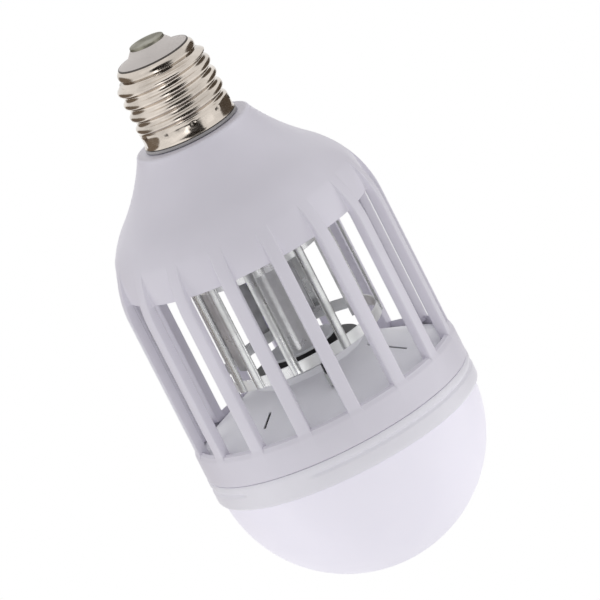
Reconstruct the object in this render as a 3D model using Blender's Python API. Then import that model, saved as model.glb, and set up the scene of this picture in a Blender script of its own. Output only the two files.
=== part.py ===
"""Insect killer light bulb: an E27 lamp with a slotted cage around two high-voltage electrodes.

The bulb hangs cap up. The origin is the centre of the contact's outer face, +Z points out of the
cap, and the camera's side of the bulb is -Y. Angles around the axis are bearings: 0 faces -Y and
they grow towards +X.
"""

from math import asin, atan2, ceil, cos, pi, radians, sin, sqrt

import bmesh
import bpy
from mathutils import Matrix, Vector
from mathutils.geometry import intersect_sphere_sphere_2d

MM = 0.001

# Fits
SEAT_GAP = 0.3 * MM  # between two pieces that touch
SLIDE_GAP = 0.5 * MM  # around a plate or a wire that drops into place
WELD = 0.001 * MM  # points this close are one point

# Round pieces
SLOT_STEPS = 3  # facets across a slot; a rib has one
NECK_STEPS = 5  # facets down the neck's arc
SHOULDER_STEPS = 3  # facets down each half of the shoulder's arc
INSIDE_STEPS = (3, 2)  # the same two, inside the wall
WIDE_STEPS = 48  # facets around the dome, the deck and the plates
DISC_STEPS = 32  # facets around the middling discs
SMALL_STEPS = 24  # facets around the cap's pieces and the post
PIN_STEPS = 12  # facets around posts, holes and small round parts
WIRE_STEPS = 8  # facets around wires

# Cap
CONTACT_RADIUS = 4.9 * MM
CONTACT_THICKNESS = 0.8 * MM
CONTACT_EDGE_ROUND = 0.25 * MM
CONTACT_STEM_RADIUS = 1.5 * MM
CONTACT_STEM_LENGTH = 6.0 * MM
INSULATOR_TIP_RADIUS = 5.2 * MM
INSULATOR_CONE_RADIUS = 6.7 * MM
INSULATOR_CONE_BOTTOM = -3.3 * MM
INSULATOR_THICKNESS = 2.6 * MM
SHELL_SHEET = 0.35 * MM
SHELL_LIP_RADIUS = 9.4 * MM
SHELL_LIP_TOP = -3.9 * MM
SHELL_CORNER_RADIUS = 11.3 * MM
SHELL_CORNER_Z = -5.2 * MM
THREAD_TOP = -7.4 * MM
THREAD_BOTTOM = -22.8 * MM
THREAD_PITCH = 3.63 * MM
THREAD_CREST_RADIUS = 13.05 * MM
THREAD_DEPTH = 0.95 * MM
THREAD_CREST_Z = -8.85 * MM  # height of a crest on bearing 0
THREAD_RUN_OUT = 1.2 * MM  # length over which the thread fades at both ends
THREAD_STEPS_PER_PITCH = 5
THREAD_ROUND_STEPS = 30
SKIRT_BOTTOM = -25.9 * MM

# Neck
NECK_RING_STEP = 0.45 * MM  # how far the neck ring stands out from the cap
SPIGOT_WALL = 1.5 * MM  # tube that the cap is crimped over
SPIGOT_TOP = -9.6 * MM

# Cage housing
WALL = 1.6 * MM
CAGE_RADIUS = 37.8 * MM
BAND_STEP = 0.4 * MM  # how far the band stands out from the ribs
HOUSING_TOP = -27.2 * MM
HOUSING_TOP_ROUND = 0.9 * MM
HOUSING_RIM_RADIUS = 16.5 * MM  # outside the neck, under its rounded top edge
NECK_ARC_RADIUS = 57.0 * MM
SHOULDER_ARC_RADIUS = 30.1 * MM
SHOULDER_END = -65.0 * MM  # the shoulder's arc becomes the straight cage wall here
HOUSING_BOTTOM = -113.6 * MM

# Ribs and slots
RIB_COUNT = 16
RIB_WIDTH = 3.8 * MM
RIB_DEPTH = 2.8 * MM
RIB_BEARING = radians(7.4)
PANEL_CREASE = -50.5 * MM  # the ribs begin to stand proud here
PANEL_RECESS = 1.9 * MM  # how far the panels lie behind the ribs at the slots
SLOT_TOP = -60.2 * MM
SLOT_BOTTOM = -105.5 * MM
SLOT_SILL_RISE = 1.7 * MM

# Cage ceiling and driver
PLATE_TOP = -58.2 * MM
PLATE_THICKNESS = 1.6 * MM
BOARD_MARGIN = 1.8 * MM  # from the outer electrode to the board's edge
BOARD_THICKNESS = 1.6 * MM
BOARD_POST_RADIUS = 1.8 * MM
BOARD_POST_INSET = 4.0 * MM  # from the board's edge
BOARD_POST_BEARING = radians(60.0)
BOARD_POST_HEIGHT = 5.0 * MM
BOARD_POST_COUNT = 3
PART_STAND_OFF = SEAT_GAP
CAPACITOR_RADIUS = 5.0 * MM
CAPACITOR_HEIGHT = 14.0 * MM
CAPACITOR_PLACE = (-8.5 * MM, -1.0 * MM)
TRANSFORMER_SIZE = (13.0 * MM, 11.0 * MM, 10.0 * MM)
TRANSFORMER_PLACE = (9.5 * MM, 3.0 * MM)
FILM_CAPACITOR_SIZE = (11.0 * MM, 5.0 * MM, 8.0 * MM)
FILM_CAPACITOR_PLACE = (-5.0 * MM, 12.0 * MM)
RECTIFIER_SIZE = (6.5 * MM, 5.0 * MM, 2.6 * MM)
RECTIFIER_PLACE = (4.0 * MM, -14.0 * MM)
RESISTOR_RADIUS = 1.7 * MM
RESISTOR_LENGTH = 8.0 * MM
RESISTOR_PLACE = (-12.0 * MM, -11.0 * MM)
PART_EDGE_ROUND = 0.5 * MM
WIRE_RADIUS = 0.6 * MM
LIVE_LEAD_FOOT = (-1.0 * MM, 5.0 * MM)
NEUTRAL_LEAD_FOOT = (2.0 * MM, -7.0 * MM)

# Electrodes
GRID_SHEET = 0.5 * MM
GRID_SPACING = 4.4 * MM  # between the two electrodes
INNER_GRID_HOOP = 6.0 * MM  # height of the hoop under the ceiling
INNER_GRID_BOTTOM = -89.3 * MM
INNER_STRIP_COUNT = 6
INNER_STRIP_WIDTH = 6.2 * MM
INNER_STRIP_BEARING = radians(0.0)
INNER_STRIP_CREASE = 0.5 * MM  # how far the fold along each strip stands out
OUTER_GRID_RADIUS = 23.2 * MM
OUTER_HOOP_TOP = -89.7 * MM
OUTER_HOOP_BOTTOM = -93.4 * MM
OUTER_STRIP_COUNT = 11
OUTER_STRIP_WIDTH = 2.4 * MM
OUTER_STRIP_BEARING = radians(-9.5)
FOOT_COUNT = 3
FOOT_BEARING = radians(8.0)
FOOT_WIDTH = 1.8 * MM

# Lamp post
POST_RADIUS = 3.6 * MM
POST_BORE_RADIUS = 2.4 * MM
UV_STRIP_COUNT = 3
UV_STRIP_WIDTH = 4.6 * MM
UV_STRIP_MARGIN = 3.0 * MM  # left free above and below each strip
UV_STRIP_THICKNESS = 0.8 * MM
UV_LED_SIZE = (2.8 * MM, 0.7 * MM, 3.5 * MM)
UV_LEDS_PER_STRIP = 2
FLANGE_RADIUS = 9.9 * MM
FLANGE_TOP = -92.4 * MM
FLANGE_THICKNESS = 2.1 * MM
DISC_RADIUS = 15.7 * MM
DISC_THICKNESS = 2.2 * MM

# Deck
DECK_EDGE = -106.9 * MM  # height of the deck's upper face at its outer edge
DECK_THICKNESS = 1.6 * MM
DECK_RIM_THICKNESS = 1.4 * MM
DECK_RIM_BOTTOM = -109.2 * MM
DECK_SLIT_COUNT = 4
DECK_SLIT_BEARING = radians(-36.0)
DECK_SLIT_WIDTH = 0.8 * MM
DECK_SLIT_INNER = 25.0 * MM
DECK_SLIT_OUTER = 29.0 * MM

# Lower lamp
COLLAR_STEP = 0.1 * MM  # how far the collar stands out from the band
COLLAR_BOTTOM = -121.1 * MM
COLLAR_LEDGE_TOP = -113.8 * MM
COLLAR_LEDGE_BOTTOM = -117.2 * MM
COLLAR_LEDGE_WIDTH = 4.7 * MM
COLLAR_SPIGOT_WALL = 1.4 * MM
GROOVE_Z = -116.7 * MM
GROOVE_WIDTH = 1.5 * MM
GROOVE_DEPTH = 0.5 * MM
GROOVE_COUNT = 2
GROOVE_GAP = radians(33.4)
GROOVE_STEPS = 20
GROOVE_GAP_STEPS = 4
GROOVE_GAP_BEARING = radians(-36.9)  # middle of one of the breaks in the groove
HEAT_SINK_THICKNESS = 1.5 * MM
LED_BOARD_THICKNESS = 1.2 * MM
WHITE_LED_COUNT = 8
WHITE_LED_INSET = 9.7 * MM  # from the lamp board's edge
WHITE_LED_SIZE = 3.5 * MM
WHITE_LED_HEIGHT = 0.8 * MM
SCREW_RING = 12.0 * MM
SCREW_RADIUS = 1.3 * MM
SCREW_HEAD_RADIUS = 2.6 * MM
SCREW_HEAD_HEIGHT = 1.6 * MM
CABLE_RADIUS = 1.3 * MM
DOME_INSET = 1.3 * MM  # how far the dome lies inside the collar
DOME_CENTRE = -119.6 * MM
DOME_WALL = 1.8 * MM
DOME_RIM_TOP = -117.5 * MM

# Places that follow from the sizes above
PITCH_ANGLE = 2 * pi / RIB_COUNT
NECK_RING_RADIUS = THREAD_CREST_RADIUS + NECK_RING_STEP
SPIGOT_RADIUS = THREAD_CREST_RADIUS - THREAD_DEPTH - SHELL_SHEET - SLIDE_GAP
SPIGOT_BORE_RADIUS = SPIGOT_RADIUS - SPIGOT_WALL
CAGE_BORE = CAGE_RADIUS - RIB_DEPTH
BAND_RADIUS = CAGE_RADIUS + BAND_STEP
BAND_BORE = BAND_RADIUS - WALL
PANEL_EDGE_RADIUS = CAGE_RADIUS - PANEL_RECESS
SHOULDER_CENTRE = (CAGE_RADIUS - SHOULDER_ARC_RADIUS, SHOULDER_END)
NECK_CENTRE = max(
    intersect_sphere_sphere_2d(
        SHOULDER_CENTRE,
        SHOULDER_ARC_RADIUS + NECK_ARC_RADIUS,
        (HOUSING_RIM_RADIUS, HOUSING_TOP - HOUSING_TOP_ROUND),
        NECK_ARC_RADIUS,
    ),
    key=lambda centre: centre.x,
)
SHOULDER_MEET = atan2(NECK_CENTRE.y - SHOULDER_CENTRE[1], NECK_CENTRE.x - SHOULDER_CENTRE[0])
PLATE_BOTTOM = PLATE_TOP - PLATE_THICKNESS
PLATE_RADIUS = CAGE_BORE - 2 * SLIDE_GAP
INNER_GRID_RADIUS = OUTER_GRID_RADIUS - GRID_SPACING
BOARD_RADIUS = OUTER_GRID_RADIUS + BOARD_MARGIN
BOARD_POST_RING = BOARD_RADIUS - BOARD_POST_INSET
BOARD_BOTTOM = PLATE_TOP + BOARD_POST_HEIGHT + SEAT_GAP
BOARD_TOP = BOARD_BOTTOM + BOARD_THICKNESS
GRID_TOP = PLATE_BOTTOM - SEAT_GAP
UV_STRIP_TOP = GRID_TOP - UV_STRIP_MARGIN
UV_STRIP_LENGTH = UV_STRIP_TOP - FLANGE_TOP - UV_STRIP_MARGIN
CABLE_HOLE = CABLE_RADIUS + SLIDE_GAP
WIRE_HOLE = WIRE_RADIUS + SLIDE_GAP
FLANGE_BOTTOM = FLANGE_TOP - FLANGE_THICKNESS
DISC_TOP = FLANGE_BOTTOM - SEAT_GAP
DISC_BOTTOM = DISC_TOP - DISC_THICKNESS
DECK_TOP = DISC_BOTTOM - SEAT_GAP
DECK_RADIUS = BAND_BORE - SEAT_GAP
DECK_SLOPE = (DECK_TOP - DECK_EDGE) / (DECK_RADIUS - DISC_RADIUS)
RIB_BOTTOM = DECK_TOP - DECK_SLOPE * (CAGE_BORE - DISC_RADIUS) + SEAT_GAP
COLLAR_RADIUS = BAND_RADIUS + COLLAR_STEP
DOME_RADIUS = COLLAR_RADIUS - DOME_INSET
LEDGE_BORE = BAND_BORE - SEAT_GAP - COLLAR_SPIGOT_WALL
COLLAR_LEDGE_RADIUS = LEDGE_BORE - COLLAR_LEDGE_WIDTH
HEAT_SINK_RADIUS = LEDGE_BORE - SLIDE_GAP
HEAT_SINK_BOTTOM = COLLAR_LEDGE_TOP + SEAT_GAP
LED_BOARD_RADIUS = COLLAR_LEDGE_RADIUS - SLIDE_GAP
WHITE_LED_RING = LED_BOARD_RADIUS - WHITE_LED_INSET
LED_BOARD_TOP = HEAT_SINK_BOTTOM - SEAT_GAP
LED_BOARD_BOTTOM = LED_BOARD_TOP - LED_BOARD_THICKNESS


def clear_scene():
    for old in list(bpy.data.objects):
        bpy.data.objects.remove(old)


def finish(name, colour, roughness, metallic=0.0):
    material = bpy.data.materials.new(name)
    material.use_nodes = True
    shader = material.node_tree.nodes["Principled BSDF"]
    shader.inputs["Base Color"].default_value = (*colour, 1.0)
    shader.inputs["Roughness"].default_value = roughness
    shader.inputs["Metallic"].default_value = metallic
    return material


def direction(bearing):
    """Unit vector from the axis towards a bearing."""
    return Vector((sin(bearing), -cos(bearing), 0.0))


def at_bearing(bearing):
    """Turns a piece modelled on bearing 0, in front of the axis, round to its own bearing."""
    return Matrix.Rotation(bearing, 4, "Z")


def arc(centre, radius, start, end, steps):
    """Points (r, z) on an arc, with angles measured from +r towards +z."""
    turns = [start + (end - start) * step / steps for step in range(steps + 1)]
    return [(centre[0] + radius * cos(turn), centre[1] + radius * sin(turn)) for turn in turns]


def place(name, mesh, material, smooth_angle=radians(40)):
    """Puts a mesh in the scene as one piece, shaded smooth up to its sharp edges."""
    mesh.materials.append(material)
    mesh.shade_smooth()
    mesh.set_sharp_from_angle(angle=smooth_angle)
    piece = bpy.data.objects.new(name, mesh)
    bpy.context.scene.collection.objects.link(piece)
    return piece


def mesh_from(shape, name):
    bmesh.ops.remove_doubles(shape, verts=shape.verts, dist=WELD)
    bmesh.ops.recalc_face_normals(shape, faces=shape.faces)
    mesh = bpy.data.meshes.new(name)
    shape.to_mesh(mesh)
    shape.free()
    return mesh


def spin_section(shape, section, start, angle, steps):
    """Spins a closed (r, z) section about the axis from bearing start. Its ends stay open."""
    facing = direction(start)
    verts = [shape.verts.new((facing.x * r, facing.y * r, z)) for r, z in section]
    pairs = zip(verts, verts[1:] + verts[:1])
    edges = [shape.edges.new(pair) for pair in pairs if any(vert.co.xy.length > 0 for vert in pair)]
    axis = {"cent": (0, 0, 0), "axis": (0, 0, 1)}
    bmesh.ops.spin(shape, geom=verts + edges, angle=angle, steps=steps, **axis)


def close_side(shape, outline, bearing):
    """A flat face on the plane of a bearing, where two sections that share their points meet."""
    facing = direction(bearing)
    shape.faces.new([shape.verts.new((facing.x * r, facing.y * r, z)) for r, z in outline])


def turned(name, section, material, steps=SMALL_STEPS, start=0.0):
    """A piece turned about the bulb's axis from a closed (r, z) section."""
    shape = bmesh.new()
    spin_section(shape, section, start, 2 * pi, steps)
    return place(name, mesh_from(shape, name), material)


def cut_away(piece, cutter):
    cutter.hide_render = True
    cutter.display_type = "WIRE"
    boolean = piece.modifiers.new("cut " + cutter.name, "BOOLEAN")
    boolean.operation = "DIFFERENCE"
    boolean.solver = "EXACT"
    boolean.object = cutter


def box(name, size, centre, material, turn=0.0, edge_round=0.0):
    """A block, centred and then turned to a bearing, with its edges rounded if asked."""
    shape = bmesh.new()
    scale = Matrix.Diagonal((*size, 1.0))
    bmesh.ops.create_cube(shape, size=1.0, matrix=at_bearing(turn) @ Matrix.Translation(centre) @ scale)
    if edge_round:
        bmesh.ops.bevel(shape, geom=shape.edges[:], offset=edge_round, segments=1, affect="EDGES")
    return place(name, mesh_from(shape, name), material)


def rod(name, start, end, radius, material, steps=WIRE_STEPS):
    """A round rod between two points."""
    run = Vector(end) - Vector(start)
    middle = (Vector(start) + Vector(end)) / 2
    turn = Vector((0, 0, 1)).rotation_difference(run).to_matrix().to_4x4()
    shape = bmesh.new()
    bmesh.ops.create_cone(
        shape,
        cap_ends=True,
        segments=steps,
        radius1=radius,
        radius2=radius,
        depth=run.length,
        matrix=Matrix.Translation(middle) @ turn,
    )
    return place(name, mesh_from(shape, name), material)


def wire(name, points, material, radius=WIRE_RADIUS):
    """A bent wire through the points, with round section and filled ends."""
    curve = bpy.data.curves.new(name, "CURVE")
    curve.dimensions = "3D"
    curve.bevel_depth = radius
    curve.bevel_resolution = 2
    curve.use_fill_caps = True
    spline = curve.splines.new("POLY")
    spline.points.add(len(points) - 1)
    for place_of, point in zip(spline.points, points):
        place_of.co = (*point, 1.0)
    curve.materials.append(material)
    piece = bpy.data.objects.new(name, curve)
    bpy.context.scene.collection.objects.link(piece)
    return piece


def make_contact(material):
    corner = arc(
        (CONTACT_RADIUS - CONTACT_EDGE_ROUND, -CONTACT_EDGE_ROUND), CONTACT_EDGE_ROUND, pi / 2, 0.0, 3
    )
    profile = [(0.0, 0.0), *corner, (CONTACT_RADIUS, -CONTACT_THICKNESS)]
    profile += [(CONTACT_STEM_RADIUS, -CONTACT_THICKNESS), (CONTACT_STEM_RADIUS, -CONTACT_STEM_LENGTH)]
    profile += [(0.0, -CONTACT_STEM_LENGTH)]
    return turned("centre_contact", profile, material)


def make_insulator(material):
    """The cone stands through the shell's top opening and its flange lies under the rolled lip."""
    top = -CONTACT_THICKNESS - SEAT_GAP
    bore = CONTACT_STEM_RADIUS + SEAT_GAP
    flange_top = SHELL_LIP_TOP - SHELL_SHEET - SEAT_GAP
    flange_radius = SHELL_LIP_RADIUS + SHELL_SHEET
    bottom = flange_top - INSULATOR_THICKNESS
    neck_radius = SHELL_LIP_RADIUS - SEAT_GAP
    dome_start = (INSULATOR_CONE_RADIUS, INSULATOR_CONE_BOTTOM)
    dome = [(neck_radius, SHELL_LIP_TOP), (neck_radius, flange_top), (flange_radius, flange_top)]
    profile = [(bore, top), (INSULATOR_TIP_RADIUS, top), dome_start, *dome]
    profile += [(flange_radius, bottom), (bore, bottom)]
    return turned("cap_insulator", profile, material)


def thread_radius(bearing, z):
    """Outer radius of the shell where the thread is rolled, a rounded wave that climbs to the right."""
    middle = THREAD_CREST_RADIUS - THREAD_DEPTH / 2
    phase = (z - THREAD_CREST_Z - THREAD_PITCH * bearing / (2 * pi)) / THREAD_PITCH
    threaded = middle + THREAD_DEPTH / 2 * cos(2 * pi * phase)
    fade_in = min(1.0, max(0.0, (THREAD_TOP - z) / THREAD_RUN_OUT))
    fade_out = min(1.0, max(0.0, (z - THREAD_BOTTOM) / THREAD_RUN_OUT))
    start_radius = THREAD_CREST_RADIUS - THREAD_DEPTH
    radius = start_radius + (threaded - start_radius) * fade_in
    return THREAD_CREST_RADIUS + (radius - THREAD_CREST_RADIUS) * fade_out


def make_screw_shell(material):
    """Sheet-metal cap: rolled lip, rounded corner, rolled thread and plain skirt, thickened inwards."""
    rows = ceil((THREAD_TOP - THREAD_BOTTOM) / THREAD_PITCH * THREAD_STEPS_PER_PITCH)
    step = (THREAD_TOP - THREAD_BOTTOM) / rows
    levels = [(SHELL_LIP_RADIUS, SHELL_LIP_TOP), (SHELL_CORNER_RADIUS, SHELL_CORNER_Z)]
    levels += [(None, THREAD_TOP - step * row) for row in range(rows + 1)]
    levels += [(THREAD_CREST_RADIUS, SKIRT_BOTTOM)]
    shape = bmesh.new()
    rings = []
    for radius, z in levels:
        ring = []
        for index in range(THREAD_ROUND_STEPS):
            bearing = 2 * pi * index / THREAD_ROUND_STEPS
            reach = thread_radius(bearing, z) if radius is None else radius
            ring.append(shape.verts.new(direction(bearing) * reach + Vector((0, 0, z))))
        rings.append(ring)
    for upper, lower in zip(rings, rings[1:]):
        for index in range(THREAD_ROUND_STEPS):
            following = (index + 1) % THREAD_ROUND_STEPS
            shape.faces.new((upper[index], lower[index], lower[following], upper[following]))
    piece = place("screw_shell", mesh_from(shape, "screw_shell"), material)
    sheet = piece.modifiers.new("sheet", "SOLIDIFY")
    sheet.thickness = SHELL_SHEET
    sheet.offset = -1.0
    return piece


def make_neck_ring(material):
    top = SKIRT_BOTTOM - SEAT_GAP
    bottom = HOUSING_TOP + SEAT_GAP
    bore = SPIGOT_RADIUS + SEAT_GAP
    profile = [(bore, top), (NECK_RING_RADIUS, top), (NECK_RING_RADIUS, bottom), (bore, bottom)]
    return turned("neck_ring", profile, material)


def shoulder_curve(offset, highest, lowest, neck_steps, shoulder_steps):
    """The housing's neck and shoulder, two tangent arcs moved inwards by offset, top to bottom."""
    neck_start = pi + asin((NECK_CENTRE.y - highest) / (NECK_ARC_RADIUS + offset))
    neck = arc(NECK_CENTRE, NECK_ARC_RADIUS + offset, neck_start, pi + SHOULDER_MEET, neck_steps)
    return neck + shoulder_arc(offset, SHOULDER_MEET, shoulder_angle(offset, lowest), shoulder_steps)[1:]


def shoulder_angle(offset, height):
    return asin((height - SHOULDER_CENTRE[1]) / (SHOULDER_ARC_RADIUS - offset))


def shoulder_arc(offset, start, end, steps):
    return arc(SHOULDER_CENTRE, SHOULDER_ARC_RADIUS - offset, start, end, steps)


def housing_sections():
    """Closed (r, z) sections of the housing: through a rib, above a slot, below it, and a rib's side."""
    outside_top = HOUSING_TOP - HOUSING_TOP_ROUND
    outside = shoulder_curve(0.0, outside_top, PANEL_CREASE, NECK_STEPS, SHOULDER_STEPS)
    rim = (outside[0][0] - HOUSING_TOP_ROUND, outside_top)
    top_round = arc(rim, HOUSING_TOP_ROUND, pi / 2, 0.0, 2)
    inside = shoulder_curve(WALL, HOUSING_TOP - WALL, PANEL_CREASE, *INSIDE_STEPS)[::-1]
    neck = [(SPIGOT_BORE_RADIUS, HOUSING_TOP - WALL), (SPIGOT_BORE_RADIUS, SPIGOT_TOP)]
    neck += [(SPIGOT_RADIUS, SPIGOT_TOP), (SPIGOT_RADIUS, HOUSING_TOP)]
    head = [*inside, *neck, *top_round[:-1], *outside]
    rib_front = shoulder_arc(0.0, shoulder_angle(0.0, PANEL_CREASE), 0.0, SHOULDER_STEPS)[1:]
    slot_foot = (BAND_RADIUS, SLOT_BOTTOM)
    band = [(BAND_RADIUS, HOUSING_BOTTOM), (BAND_BORE, HOUSING_BOTTOM), (BAND_BORE, RIB_BOTTOM)]
    sill = (BAND_BORE, SLOT_BOTTOM + SLOT_SILL_RISE)
    rib_back = [(CAGE_BORE, RIB_BOTTOM), (CAGE_BORE, SLOT_TOP)]
    panel_edge = (PANEL_EDGE_RADIUS, SLOT_TOP)
    through_rib = [*head, *rib_front, slot_foot, *band, *rib_back]
    above_slot = [*head, panel_edge, rib_back[1]]
    below_slot = [slot_foot, *band, sill]
    rib_side = [outside[-1], *rib_front, slot_foot, sill, band[-1], *rib_back, panel_edge]
    return through_rib, above_slot, below_slot, rib_side


def make_housing(material):
    """One moulding: hollow neck and shoulder, sixteen ribs with open slots between, and the lower band.

    Each rib, and what lies above and below each slot, is spun from its own section. The sections
    share their points, so the ribs' sides close the shape where they meet.
    """
    rib_angle = 2 * asin(RIB_WIDTH / 2 / CAGE_RADIUS)
    slot_angle = PITCH_ANGLE - rib_angle
    through_rib, above_slot, below_slot, rib_side = housing_sections()
    shape = bmesh.new()
    for index in range(RIB_COUNT):
        rib_start = RIB_BEARING - rib_angle / 2 + PITCH_ANGLE * index
        rib_end = rib_start + rib_angle
        spin_section(shape, through_rib, rib_start, rib_angle, 1)
        for section in (above_slot, below_slot):
            spin_section(shape, section, rib_end, slot_angle, SLOT_STEPS)
        for bearing in (rib_start, rib_end):
            close_side(shape, rib_side, bearing)
    return place("cage_housing", mesh_from(shape, "cage_housing"), material)


def make_grid_plate(material):
    """Ceiling of the cage, with the driver's posts on top and holes for the leads."""
    profile = [(CABLE_HOLE, PLATE_TOP), (PLATE_RADIUS, PLATE_TOP)]
    profile += [(PLATE_RADIUS, PLATE_BOTTOM), (CABLE_HOLE, PLATE_BOTTOM)]
    plate = turned("grid_plate", profile, material, WIDE_STEPS)
    for index in range(BOARD_POST_COUNT):
        bearing = BOARD_POST_BEARING + 2 * pi * index / BOARD_POST_COUNT
        post_at = direction(bearing) * BOARD_POST_RING
        foot = post_at + Vector((0, 0, PLATE_TOP - PLATE_THICKNESS / 2))
        head = post_at + Vector((0, 0, PLATE_TOP + BOARD_POST_HEIGHT))
        post = rod(f"board_post_{index + 1}", foot, head, BOARD_POST_RADIUS, material)
        post.hide_render = True
        post.display_type = "WIRE"
        union = plate.modifiers.new(post.name, "BOOLEAN")
        union.operation = "UNION"
        union.object = post
    for name, foot in grid_lead_feet().items():
        low = foot + Vector((0, 0, PLATE_BOTTOM - PLATE_THICKNESS))
        high = foot + Vector((0, 0, PLATE_TOP + PLATE_THICKNESS))
        cut_away(plate, rod("hole_for_" + name, low, high, WIRE_HOLE, material))
    return plate


def grid_lead_feet():
    """Where each high-voltage lead comes down on its electrode."""
    fourth_strip = OUTER_STRIP_BEARING + 4 * 2 * pi / OUTER_STRIP_COUNT
    return {
        "grid_lead_inner": direction(INNER_STRIP_BEARING) * INNER_GRID_RADIUS,
        "grid_lead_outer": direction(fourth_strip) * OUTER_GRID_RADIUS,
    }


def make_driver(board_material, black, copper, yellow, plated, red):
    """The step-up driver: a round board on the ceiling's posts, its parts, and its leads."""
    profile = [(0.0, BOARD_TOP), (BOARD_RADIUS, BOARD_TOP), (BOARD_RADIUS, BOARD_BOTTOM), (0.0, BOARD_BOTTOM)]
    turned("driver_board", profile, board_material, DISC_STEPS)
    seat = BOARD_TOP + PART_STAND_OFF
    place_of = Vector((*CAPACITOR_PLACE, 0.0))
    foot = place_of + Vector((0, 0, seat))
    head = place_of + Vector((0, 0, seat + CAPACITOR_HEIGHT))
    capacitor = rod("mains_capacitor", foot, head, CAPACITOR_RADIUS, black, PIN_STEPS)
    sleeve = capacitor.modifiers.new("rolled edge", "BEVEL")
    sleeve.width = PART_EDGE_ROUND
    sleeve.segments = 1
    sleeve.limit_method = "ANGLE"
    blocks = [
        ("step_up_transformer", TRANSFORMER_SIZE, TRANSFORMER_PLACE, copper),
        ("film_capacitor", FILM_CAPACITOR_SIZE, FILM_CAPACITOR_PLACE, yellow),
        ("bridge_rectifier", RECTIFIER_SIZE, RECTIFIER_PLACE, black),
    ]
    for name, size, spot, material in blocks:
        box(name, size, (*spot, seat + size[2] / 2), material, edge_round=PART_EDGE_ROUND)
    resistor_z = seat + RESISTOR_RADIUS
    half = RESISTOR_LENGTH / 2
    ends = [(RESISTOR_PLACE[0] + side * half, RESISTOR_PLACE[1], resistor_z) for side in (-1, 1)]
    rod("fuse_resistor", *ends, RESISTOR_RADIUS, red)
    live_foot = (*LIVE_LEAD_FOOT, seat)
    stem_end = -CONTACT_STEM_LENGTH - SEAT_GAP
    live = [live_foot, (*LIVE_LEAD_FOOT, BOARD_TOP + CAPACITOR_HEIGHT), (0.0, 0.0, SPIGOT_TOP), (0.0, 0.0, stem_end)]
    wire("live_lead", live, plated)
    over_spigot = SPIGOT_TOP + SEAT_GAP + WIRE_RADIUS
    shell_wall = THREAD_CREST_RADIUS - THREAD_DEPTH - SHELL_SHEET - SEAT_GAP
    aside = SPIGOT_BORE_RADIUS - 4 * WIRE_RADIUS
    neutral = [
        (*NEUTRAL_LEAD_FOOT, seat),
        (NEUTRAL_LEAD_FOOT[0], -aside, BOARD_TOP + CAPACITOR_HEIGHT),
        (NEUTRAL_LEAD_FOOT[0], -aside, over_spigot - 2 * WIRE_RADIUS),
        (NEUTRAL_LEAD_FOOT[0], -SPIGOT_BORE_RADIUS, over_spigot),
        (NEUTRAL_LEAD_FOOT[0], -sqrt(shell_wall**2 - NEUTRAL_LEAD_FOOT[0] ** 2), over_spigot),
    ]
    wire("neutral_lead", neutral, plated)
    for name, foot in grid_lead_feet().items():
        low = foot + Vector((0, 0, GRID_TOP + SEAT_GAP))
        high = foot + Vector((0, 0, BOARD_BOTTOM - SEAT_GAP))
        rod(name, low, high, WIRE_RADIUS, red)


def hoop_with_strips(name, material, radius, hoop, strips, count, width, bearing, crease, gap_steps):
    """A sheet-metal electrode: one hoop, with strips that run on from it, up or down.

    hoop and strips are (top, bottom) heights. Each strip is two flats that meet at a fold.
    """
    half = asin(width / 2 / radius)
    spacing = 2 * pi / count
    edges = []
    for index in range(count):
        middle = bearing + spacing * index
        edges += [(middle - half, radius, True), (middle, radius + crease, True)]
        free = spacing - 2 * half
        edges += [(middle + half + free * step / gap_steps, radius, False) for step in range(gap_steps)]
    shape = bmesh.new()
    below = strips[1] < hoop[1]
    heights = [*hoop, strips[1]] if below else [strips[0], *hoop]
    columns = [[shape.verts.new(direction(b) * r + Vector((0, 0, z))) for z in heights] for b, r, _ in edges]
    hoop_row = 0 if below else 1
    for index, (_, _, in_strip) in enumerate(edges):
        here, following = columns[index], columns[(index + 1) % len(columns)]
        for row in (0, 1):
            if row == hoop_row or in_strip:
                shape.faces.new((here[row], here[row + 1], following[row + 1], following[row]))
    for vert in [v for v in shape.verts if not v.link_faces]:
        shape.verts.remove(vert)
    piece = place(name, mesh_from(shape, name), material, radians(5))
    sheet = piece.modifiers.new("sheet", "SOLIDIFY")
    sheet.thickness = GRID_SHEET
    sheet.offset = 0.0
    return piece


def make_electrodes(steel, black):
    hoop_with_strips(
        "inner_electrode",
        steel,
        INNER_GRID_RADIUS,
        (GRID_TOP, GRID_TOP - INNER_GRID_HOOP),
        (GRID_TOP, INNER_GRID_BOTTOM),
        INNER_STRIP_COUNT,
        INNER_STRIP_WIDTH,
        INNER_STRIP_BEARING,
        INNER_STRIP_CREASE,
        4,
    )
    hoop_with_strips(
        "outer_electrode",
        steel,
        OUTER_GRID_RADIUS,
        (OUTER_HOOP_TOP, OUTER_HOOP_BOTTOM),
        (GRID_TOP, OUTER_HOOP_BOTTOM),
        OUTER_STRIP_COUNT,
        OUTER_STRIP_WIDTH,
        OUTER_STRIP_BEARING,
        0.0,
        3,
    )
    foot_top = OUTER_HOOP_BOTTOM - SEAT_GAP
    for index in range(FOOT_COUNT):
        bearing = FOOT_BEARING + 2 * pi * index / FOOT_COUNT
        reach = OUTER_GRID_RADIUS
        foot_bottom = deck_height(reach - FOOT_WIDTH / 2) + SEAT_GAP
        size = (FOOT_WIDTH, FOOT_WIDTH, foot_top - foot_bottom)
        centre = (0.0, -reach, (foot_top + foot_bottom) / 2)
        box(f"electrode_foot_{index + 1}", size, centre, black, turn=bearing)


def deck_height(radius):
    """Height of the deck's upper face at a distance from the axis."""
    return DECK_TOP - DECK_SLOPE * max(0.0, radius - DISC_RADIUS)


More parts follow.
